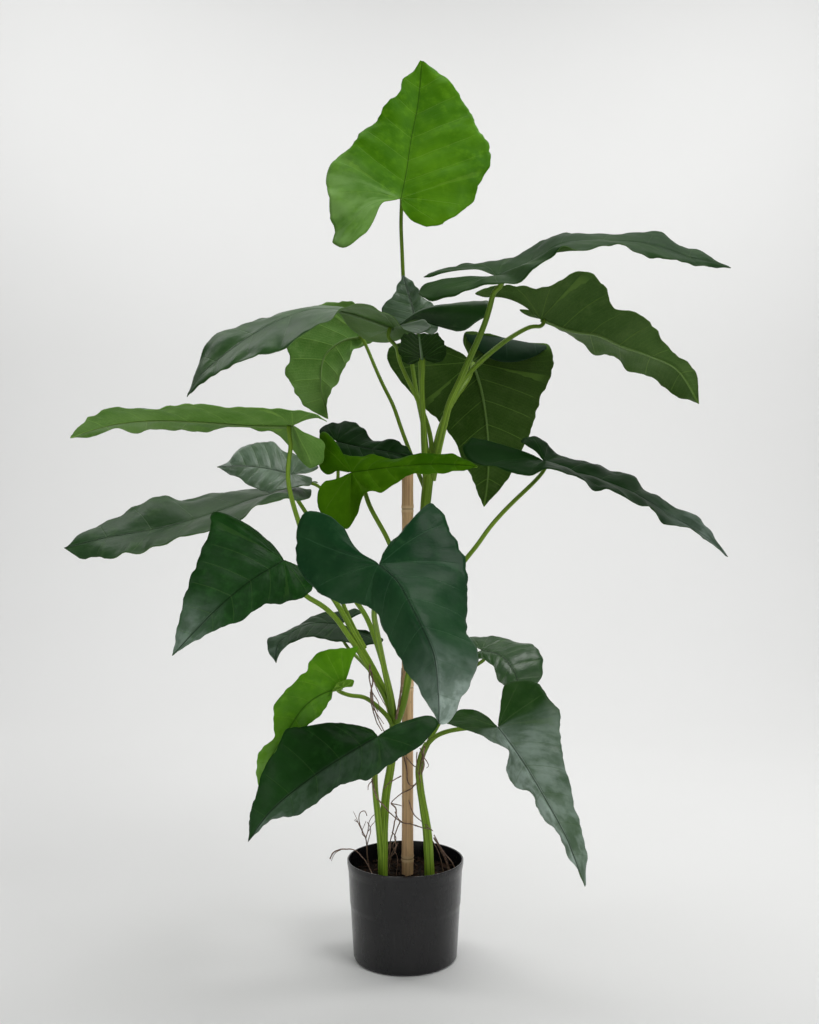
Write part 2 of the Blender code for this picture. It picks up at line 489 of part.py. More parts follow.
def smooth_value(knots, values, t):
    """Value of a smooth curve through the values at the knots, at the places t."""
    values = np.asarray(values, float)
    t = np.clip(np.asarray(t, float), knots[0], knots[-1])
    slopes = np.diff(values, axis=0) / np.diff(knots).reshape(-1, *[1] * (values.ndim - 1))
    spans = np.diff(knots)
    tangent = np.empty_like(values)
    tangent[0] = slopes[0]
    tangent[-1] = slopes[-1]
    for i in range(1, len(knots) - 1):
        total = spans[i - 1] + spans[i]
        tangent[i] = (slopes[i - 1] * spans[i] + slopes[i] * spans[i - 1]) / total
    seg = np.clip(np.searchsorted(knots, t, side="right") - 1, 0, len(knots) - 2)
    shape = (-1,) + (1,) * (values.ndim - 1)
    h = spans[seg].reshape(shape)
    u = ((t - knots[seg]) / spans[seg]).reshape(shape)
    start = (2 * u**3 - 3 * u**2 + 1) * values[seg] + (u**3 - 2 * u**2 + u) * h * tangent[seg]
    end = (3 * u**2 - 2 * u**3) * values[seg + 1] + (u**3 - u**2) * h * tangent[seg + 1]
    return start + end


def smooth_path(points, spacing):
    """Evenly spaced points on a smooth curve through the given ones."""
    points = np.asarray(points, float)
    knots = chord_knots(points)
    count = max(3, int(round(knots[-1] / spacing)) + 1)
    return smooth_value(knots, points, np.linspace(0.0, knots[-1], count))


# Leaf blade
def unit(v):
    v = np.asarray(v, float)
    return v / np.linalg.norm(v, axis=-1, keepdims=True)


def curve_at(points, shares):
    """Points of a smooth curve, at shares of its length."""
    knots = chord_knots(points)
    return smooth_value(knots, points, np.asarray(shares, float) * knots[-1])


def rib_at(leaf, shares):
    return curve_at(places(leaf["rib"]), shares)


def edge_points(leaf, side):
    """One edge of the blade, from the seat round its lobe to the tip."""
    rib = places(leaf["rib"])
    return np.vstack([rib[:1], places(leaf[side]), rib[-1:]])


def edge_shares(leaf, side, rows_lobe, rows_front):
    """Shares of an edge's length where the rows end. The lobe's rows all start at the seat."""
    edge = edge_points(leaf, side)
    knots = chord_knots(edge)
    first = knots[1] / knots[-1]
    seat, ahead = rib_at(leaf, [0.0, LOBE_AIM])
    shares = np.linspace(first, 1.0, EDGE_SAMPLES)
    runs = unit(curve_at(edge, shares) - seat)
    behind = np.flatnonzero(runs @ unit(ahead - seat) < math.cos(LOBE_ANGLE))
    turn = shares[behind[-1] + 1]
    lobe = np.linspace(first, turn, rows_lobe + 1)[:-1]
    front = turn + (1 - turn) * np.arange(rows_front) / rows_front
    return np.concatenate([lobe, front])


def blade_frames(leaf, rows_lobe, rows_front):
    """Start of each row on the rib, and the way the upper face looks there."""
    shares = np.concatenate([np.zeros(rows_lobe), np.arange(rows_front) / rows_front])
    starts = rib_at(leaf, shares)
    along = unit(rib_at(leaf, shares + RIB_STEP) - starts)
    ends = [curve_at(edge_points(leaf, side), edge_shares(leaf, side, rows_lobe, rows_front))
            for side in ("a", "b")]
    faces = unit(np.cross(ends[0] - ends[1], along))
    faces[:rows_lobe] = faces[rows_lobe]
    return starts, faces


def half_blade(leaf, side, rows_lobe, rows_front, columns):
    """Rows of points from the rib to one edge. Beside the rib lies a narrow flat strip."""
    index = "ab".index(side)
    starts, faces = blade_frames(leaf, rows_lobe, rows_front)
    shares = edge_shares(leaf, side, rows_lobe, rows_front)
    ends = curve_at(edge_points(leaf, side), shares)
    out = np.linspace(0.0, 1.0, columns)[:, None]
    grid = []
    for start, end, face, share in zip(starts, ends, faces, shares):
        run = end - start
        flat = run - face * np.dot(run, face)
        strip = start + unit(flat) * min(RIB_STRIP, STRIP_SHARE * np.linalg.norm(flat))
        width = np.linalg.norm(end - strip)
        bulge = leaf["arch"][index] * width * 4 * out * (1 - out)
        wave = leaf["ripple"] * math.sin(2 * math.pi * leaf["waves"] * share + index) * out**2
        grid.append(np.vstack([start[None], strip + (end - strip) * out + face * (bulge + wave)]))
    return grid


def blade_mesh(name, leaf, rows_lobe=LOBE_ROWS, rows_front=BLADE_ROWS, columns=BLADE_COLUMNS):
    """Thin surface of one blade, both halves joined along the rib, all triangles."""
    bm = bmesh.new()
    starts, faces = blade_frames(leaf, rows_lobe, rows_front)
    seat = bm.verts.new(starts[0])
    ribs = [seat] * (rows_lobe + 1) + [bm.verts.new(p) for p in starts[rows_lobe + 1:]]
    tip = bm.verts.new(rib_at(leaf, [1.0])[0])
    for side in "ab":
        grid = half_blade(leaf, side, rows_lobe, rows_front, columns)
        rows = [[rib] + [bm.verts.new(p) for p in row[1:]] for rib, row in zip(ribs, grid)]
        rows.append([tip] * (columns + 1))
        for near, far in zip(rows, rows[1:]):
            for j in range(columns):
                corners = [near[j], near[j + 1], far[j + 1], far[j]]
                corners = list(dict.fromkeys(corners))
                if side == "b":
                    corners.reverse()
                bm.faces.new(corners)
    bmesh.ops.triangulate(bm, faces=bm.faces, quad_method="SHORT_EDGE")
    mesh = bpy.data.meshes.new(name)
    bm.to_mesh(mesh)
    bm.free()
    mesh.shade_smooth()
    return mesh


def make_blade(name, leaf, material):
    item = add_object(name, blade_mesh(name, leaf), material)
    solid = item.modifiers.new("thickness", "SOLIDIFY")
    solid.thickness = BLADE_THICKNESS
    solid.offset = 0.0
    solid.use_even_offset = False
    return item


# Stems
def tube_mesh(name, points, radii, resolution=1):
    """Closed round tube along the points, with a flat cap at each end."""
    curve = bpy.data.curves.new(name, "CURVE")
    curve.dimensions = "3D"
    curve.bevel_depth = 1.0
    curve.bevel_resolution = resolution
    curve.use_fill_caps = True
    spline = curve.splines.new("POLY")
    spline.points.add(len(points) - 1)
    for point, place, radius in zip(spline.points, points, radii):
        point.co = (*place, 1.0)
        point.radius = radius
    holder = bpy.data.objects.new(name, curve)
    bpy.context.scene.collection.objects.link(holder)
    graph = bpy.context.evaluated_depsgraph_get()
    mesh = bpy.data.meshes.new_from_object(holder.evaluated_get(graph))
    bpy.data.objects.remove(holder, do_unlink=True)
    bpy.data.curves.remove(curve)
    bm = bmesh.new()
    bm.from_mesh(mesh)
    bmesh.ops.remove_doubles(bm, verts=bm.verts, dist=WELD)
    bm.to_mesh(mesh)
    bm.free()
    return mesh


def blade_seat(leaf):
    """Point on the blade's rib where its stalk ends, and the way its upper face looks there."""
    starts, faces = blade_frames(leaf, 1, BLADE_ROWS)
    chord = unit(starts[2] - starts[1])
    face = faces[1] + faces[2]
    return starts[1] + chord * STALK_OFFSET, unit(face - chord * np.dot(face, chord))


def stalk_points(leaf):
    """Route of a leaf stalk: square under its blade, then through its own points."""
    seat, normal = blade_seat(leaf)
    top = seat - normal * (BLADE_THICKNESS / 2 + GAP)
    neck = top - normal * STALK_NECK
    bend = top - normal * STALK_BEND
    lower = smooth_path([neck, bend] + list(places(leaf["stalk"])), STALK_SPACING)
    return np.vstack([top[None], lower])


def union_mesh(name, meshes):
    """One closed body made of all the meshes."""
    cutters = bpy.data.collections.new(name + "_parts")
    bpy.context.scene.collection.children.link(cutters)
    base = bpy.data.objects.new(name + "_base", meshes[0])
    bpy.context.scene.collection.objects.link(base)
    for i, mesh in enumerate(meshes[1:]):
        cutters.objects.link(bpy.data.objects.new("%s_%02d" % (name, i), mesh))
    join = base.modifiers.new("union", "BOOLEAN")
    join.operation = "UNION"
    join.operand_type = "COLLECTION"
    join.collection = cutters
    join.solver = "EXACT"
    graph = bpy.context.evaluated_depsgraph_get()
    mesh = bpy.data.meshes.new_from_object(base.evaluated_get(graph))
    for item in list(cutters.objects) + [base]:
        bpy.data.objects.remove(item, do_unlink=True)
    bpy.data.collections.remove(cutters)
    mesh.name = name
    return mesh


def stem_tubes(stem):
    tubes = []
    for key, route in STEMS.items():
        if key.split("_")[0] == stem:
            points = smooth_path(places(route), STEM_SPACING)
            knots = chord_knots(places(route))
            at = np.linspace(0, knots[-1], len(points))
            radii = np.interp(at, knots, [p[3] for p in route])
            tubes.append(tube_mesh(key, points, radii, 2))
    for key, leaf in LEAVES.items():
        if leaf["stem"] == stem:
            points = stalk_points(leaf)
            top, bottom = leaf["stalk_radius"]
            radii = np.interp(chord_knots(points), [0, chord_knots(points)[-1]], [top, bottom])
            tubes.append(tube_mesh(key, points, radii, 1))
    return tubes


# Pot, soil, stake and roots
def turned_mesh(name, profile, segments):
    """Closed body turned about Z from (radius, height) pairs, listed from the axis to the axis."""
    bm = bmesh.new()
    rings = []
    for radius, height in profile:
        if radius == 0.0:
            rings.append([bm.verts.new((0.0, 0.0, height))])
            continue
        turns = [2 * math.pi * k / segments for k in range(segments)]
        corners = [(radius * math.cos(a), radius * math.sin(a), height) for a in turns]
        rings.append([bm.verts.new(corner) for corner in corners])
    for lower, upper in zip(rings, rings[1:]):
        for k in range(segments):
            n = (k + 1) % segments
            if len(lower) == 1:
                bm.faces.new([lower[0], upper[n], upper[k]])
            elif len(upper) == 1:
                bm.faces.new([lower[k], lower[n], upper[0]])
            else:
                bm.faces.new([lower[k], lower[n], upper[n], upper[k]])
    mesh = bpy.data.meshes.new(name)
    bm.to_mesh(mesh)
    bm.free()
    mesh.shade_smooth()
    mesh.set_sharp_from_angle(angle=SHARP_ANGLE)
    return mesh


def pot_outer_radius(z):
    heights = [0.0, POT_STEP_HEIGHT, POT_HEIGHT - POT_RIM_DEPTH]
    return float(np.interp(z, heights, [POT_BASE_RADIUS, POT_STEP_RADIUS, POT_BODY_RADIUS]))


def make_pot():
    rim_start = POT_HEIGHT - POT_RIM_DEPTH
    rim_inside = POT_RIM_RADIUS - POT_WALL
    edge = POT_RIM_EDGE
    foot = POT_BASE_RADIUS - POT_BASE_ROUND
    outer = [(0.0, 0.0), (foot, 0.0)]
    for k in range(1, POT_ROUND_STEPS + 1):
        turn = math.pi / 2 * k / POT_ROUND_STEPS
        outer.append((foot + POT_BASE_ROUND * math.sin(turn), POT_BASE_ROUND * (1 - math.cos(turn))))
    outer += [(POT_STEP_RADIUS, POT_STEP_HEIGHT), (POT_BODY_RADIUS, rim_start)]
    rim = [(POT_RIM_RADIUS - edge, rim_start + edge), (POT_RIM_RADIUS, rim_start + 2 * edge),
           (POT_RIM_RADIUS, POT_HEIGHT - edge), (POT_RIM_RADIUS - edge, POT_HEIGHT),
           (rim_inside, POT_HEIGHT), (rim_inside - edge, POT_HEIGHT - edge)]
    inner = [(pot_outer_radius(z) - POT_WALL, z) for z in (rim_start, POT_STEP_HEIGHT, POT_FLOOR)]
    mesh = turned_mesh("pot", outer + rim + inner + [(0.0, POT_FLOOR)], POT_SEGMENTS)
    add_object("pot", mesh, principled("pot", POT_COLOR, 0.55))


def cut(base, name, mesh):
    cutter = bpy.data.objects.new(name, mesh)
    bpy.context.scene.collection.objects.link(cutter)
    cutter.hide_render = True
    cutter.display_type = "WIRE"
    hole = base.modifiers.new(name, "BOOLEAN")
    hole.operation = "DIFFERENCE"
    hole.object = cutter
    return cutter


def cylinder_mesh(name, radius, low, high, segments):
    return turned_mesh(name, [(0.0, low), (radius, low), (radius, high), (0.0, high)], segments)


def make_soil():
    low = POT_FLOOR + GAP
    top = SOIL_HEIGHT + CUTTER_CLEAR
    radii = [(pot_outer_radius(z) - POT_WALL - GAP, z) for z in (low, POT_STEP_HEIGHT, SOIL_HEIGHT)]
    mesh = turned_mesh("soil", [(0.0, low)] + radii + [(0.0, SOIL_HEIGHT)], SOIL_SEGMENTS)
    soil = add_object("soil", mesh, principled("soil", SOIL_COLOR, 0.95))
    hole = cylinder_mesh("stake_hole", STAKE_RADIUS + GAP, STAKE_FOOT - GAP, top, STAKE_SEGMENTS)
    cut(soil, "stake_hole", hole).location = (STAKE_X, 0.0, 0.0)
    for name, point in (("main_hole", STEMS["main_foot"][-1]), ("right_hole", STEMS["right"][0])):
        foot = place(point)
        hole = cylinder_mesh(name, STEM_HOLE_RADIUS, foot[2] - GAP, top, STAKE_SEGMENTS)
        cut(soil, name, hole).location = (foot[0], foot[1], 0.0)


def make_stake():
    slim = STAKE_RADIUS - STAKE_NODE_BULGE
    profile = [(0.0, STAKE_FOOT), (slim, STAKE_FOOT)]
    for node in STAKE_NODES:
        profile += [(slim + out, node + rise) for rise, out in STAKE_RING]
    profile += [(slim, STAKE_TOP), (0.0, STAKE_TOP)]
    mesh = turned_mesh("bamboo_stake", profile, STAKE_SEGMENTS)
    stake = add_object("bamboo_stake", mesh, principled("bamboo_stake", STAKE_COLOR, 0.6))
    stake.location = (STAKE_X, 0.0, 0.0)


def make_root(name, runs):
    meshes = []
    for radius, route in runs:
        points = smooth_path(places(route), ROOT_SPACING)
        meshes.append(tube_mesh(name, points, [radius] * len(points), 1))
    mesh = union_mesh(name, meshes) if len(meshes) > 1 else meshes[0]
    add_object(name, mesh, principled(name, ROOT_COLOR, 0.7))


def main():
    clear_scene()
    make_pot()
    make_soil()
    make_stake()
    for name, leaf in LEAVES.items():
        make_blade(name, leaf, principled(name, LEAF_COLORS[leaf["tint"]], 0.45))
    for stem in ("main", "right"):
        mesh = union_mesh("stem_" + stem, stem_tubes(stem))
        add_object("stem_" + stem, mesh, principled("stem_" + stem, STALK_COLOR, 0.5))
    for name, runs in ROOTS.items():
        make_root(name, runs)


main()
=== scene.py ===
"""Potted alocasia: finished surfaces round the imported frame. Metres, +Z up, front towards -Y.
The tables of leaves, stems and roots repeat the part's own, so each finer piece lies where its
plain solid lies."""
import math
import random

import bmesh
import bpy
import numpy as np
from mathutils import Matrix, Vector, noise


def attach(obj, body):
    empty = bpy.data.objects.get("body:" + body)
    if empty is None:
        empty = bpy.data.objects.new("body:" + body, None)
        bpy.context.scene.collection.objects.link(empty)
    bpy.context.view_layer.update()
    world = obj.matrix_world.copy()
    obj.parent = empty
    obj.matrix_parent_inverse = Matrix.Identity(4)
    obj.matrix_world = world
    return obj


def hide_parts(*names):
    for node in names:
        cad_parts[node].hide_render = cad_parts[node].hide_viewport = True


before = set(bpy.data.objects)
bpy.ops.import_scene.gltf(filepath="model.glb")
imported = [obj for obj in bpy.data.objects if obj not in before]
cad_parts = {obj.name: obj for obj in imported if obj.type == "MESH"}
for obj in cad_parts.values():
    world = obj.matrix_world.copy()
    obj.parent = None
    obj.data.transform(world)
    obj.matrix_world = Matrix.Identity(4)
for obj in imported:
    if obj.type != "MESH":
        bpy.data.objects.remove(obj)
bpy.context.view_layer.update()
MM = 0.001

# Sizes, as in the part
POT_HEIGHT = 0.130
POT_RIM_RADIUS = 0.0775
POT_BODY_RADIUS = 0.0758
POT_BASE_RADIUS = 0.0690
POT_WALL = 0.0022
POT_RIM_DEPTH = 0.011
POT_STEP_HEIGHT = 0.072
POT_STEP_RADIUS = 0.0738
POT_STEP_DEPTH = 0.0010
POT_BASE_ROUND = 0.0040
SOIL_HEIGHT = 0.108
STAKE_X = 0.003
STAKE_RADIUS = 0.0086
STAKE_TOP = 0.648
STAKE_NODES = (0.130, 0.358, 0.596)
STAKE_NODE_BULGE = 0.0009
BLADE_THICKNESS = 0.0008
BLADE_ARCH = 0.05
STALK_OFFSET = 0.005
STALK_NECK = 0.004
STALK_BEND = 0.012
GAP = 0.0003
LOBE_AIM = 0.35
LOBE_ANGLE = math.radians(65)
RIB_STEP = 0.02
RIB_STRIP = 0.004
STRIP_SHARE = 0.3

# Detail that only the scene has. Lengths are in metres where no other unit is named.
POT_RECESS = 0.0015
POT_RECESS_RADIUS = 0.050
POT_EDGE_ROUND = 0.0009
POT_LINING = 0.03
SOIL_SKIRT = 0.02
SOIL_SLOPE = 0.0015
STALK_SWELL = 0.22
STALK_SWELL_LENGTH = 0.007
STEM_LUMP = 0.05
STEM_LUMP_SCALE = 60
ROOT_LUMP = 0.15
ROOT_LUMP_SCALE = 300
ROOT_CROOK = 0.0006
ROOT_CROOK_SCALE = 120
ROOT_START = 1.20
ROOT_THINNING = 0.50
CHIP_COUNT = 420
CHIP_SEED = 11
CHIP_LUMP = 0.35
CHIP_SIZES = (0.0008, 0.0021)
CHIP_BIG_SHARE = 0.12
CHIP_LENGTHS = (1.0, 2.4)
CHIP_WIDTHS = (0.7, 1.2)
CHIP_FLATNESS = 0.6
CHIP_TILT = 0.5
CHIP_MARGIN = 0.003
CHIP_LIFT = 0.0006
SOIL_SEED = 5
# Height and scale of each size of lump in the soil
SOIL_LUMPS = ((0.0016, 70), (0.0011, 210), (0.0007, 600))
STAKE_LUMP = 0.018
FOLD_SEED = 4
TUBE_SHIFT = 0.37
CORNER_SHARE = 0.45
# Bamboo's profile at a node and at its top, as (mm out from the plain radius, mm up)
NODE_PROFILE = ((-0.1, -12.0), (0.2, -5.0), (0.7, -1.8), (-0.1, 0.0), (0.9, 2.2), (0.2, 7.0), (0.0, 20.0))
STAKE_END_PROFILE = ((0.0, -0.6), (-0.6, 0.0), (-2.6, -0.3), (-3.2, -5.0))
STAKE_HOLLOW = 0.0055

# How finely the surfaces are divided
LOBE_ROWS = 36
FRONT_ROWS = 66
COLUMNS = 22
EDGE_SAMPLES = 400
SEAT_ROWS = FRONT_ROWS // 9
FOLD_ROWS = 60
FOLD_COLUMNS = 14
RIB_RINGS = 40
TUBE_SIDES = 14
TUBE_STEP = 0.004
ROOT_SIDES = 8
ROOT_STEP = 0.002
POT_SIDES = 144
SOIL_SIDES = 160
SOIL_RINGS = 56
STAKE_SIDES = 40
STAKE_STEP = 0.006
ROUND_STEPS = 4
BASE_STEPS = 8

# Veins: how many on each half, before and behind the seat, and the shape that they give the blade
FRONT_VEINS = 6.0
LOBE_VEINS = 3.0
VEIN_SPREAD = 0.85
VEIN_CURVE = 0.07
VEIN_GAP_LIMIT = 0.05
QUILT_SHARE = 0.055
QUILT_LIMIT = 0.0013
QUILT_POWER = 0.7
QUILT_MIDDLE = 0.6
LOBE_QUILT = 0.15
GROOVE_DEPTH = 0.0012
UNDULATION = 0.0016
UNDULATION_SCALE = 38.0
EDGE_CRIMP = 0.0042
EDGE_CRIMP_SCALE = 55.0
SCALLOP = 0.0024
SCALLOP_SCALE = 70.0
NICK = 0.0017
NICK_SCALE = 130.0
SMOOTH_ROUNDS = 6
VEIN_WIDTH = 0.0009
RIB_WIDTH = 0.0020
# Width of the painted shadow along the midrib on the upper face
FACE_RIB_SHADOW_WIDTH = 0.0011
RIB_SHARE = 0.6
RIB_REACH = 0.94
RIB_TAPER = 0.8
RIB_TIP_RADIUS = 0.0003

# Camera, light and backdrop
PHOTO_HEIGHT = 1024
SENSOR = 36.0
WORLD_LIGHT = 0.14
WORLD_COLOUR = (0.97, 0.985, 1.0, 1.0)
LIGHTS = {
    # name: power in watts, width, place, point that it looks at
    "key": (24.0, 1.3, (1.3, -1.3, 2.1), (0.0, 0.0, 0.5)),
    "top": (30.0, 2.4, (0.2, 0.3, 2.9), (0.0, 0.0, 0.5)),
    "fill": (4.0, 0.8, (-0.7, -1.5, 0.35), (0.0, 0.0, 0.25)),
    "wall_left": (24.0, 1.6, (-1.6, 0.9, 2.6), (-0.5, 2.6, 1.3)),
    "wall_right": (24.0, 1.6, (1.6, 0.9, 2.6), (0.5, 2.6, 1.1)),
}
FLOOR_FRONT = -4.0
FLOOR_BACK = 1.4
FLOOR_BEND = 1.2
FLOOR_BEND_STEPS = 24
FLOOR_DROP = 0.0003
FLOOR_HALF_WIDTH = 6.0
WALL_TOP = 4.5

# Where the leaves, stems and roots lie. Each point is (across px, down px, depth mm) in the front
# view, and place() turns it into metres. Depth grows away from the viewer and is 0 at the pot's axis.
# A root's end that reaches the soil has "soil" for its px down.
VIEW_CENTRE = (409.5, 512.0)
VIEW_FOCAL = 1089.0
VIEW_DISTANCE = 1.455
VIEW_X = 0.0056
VIEW_Z = 0.592

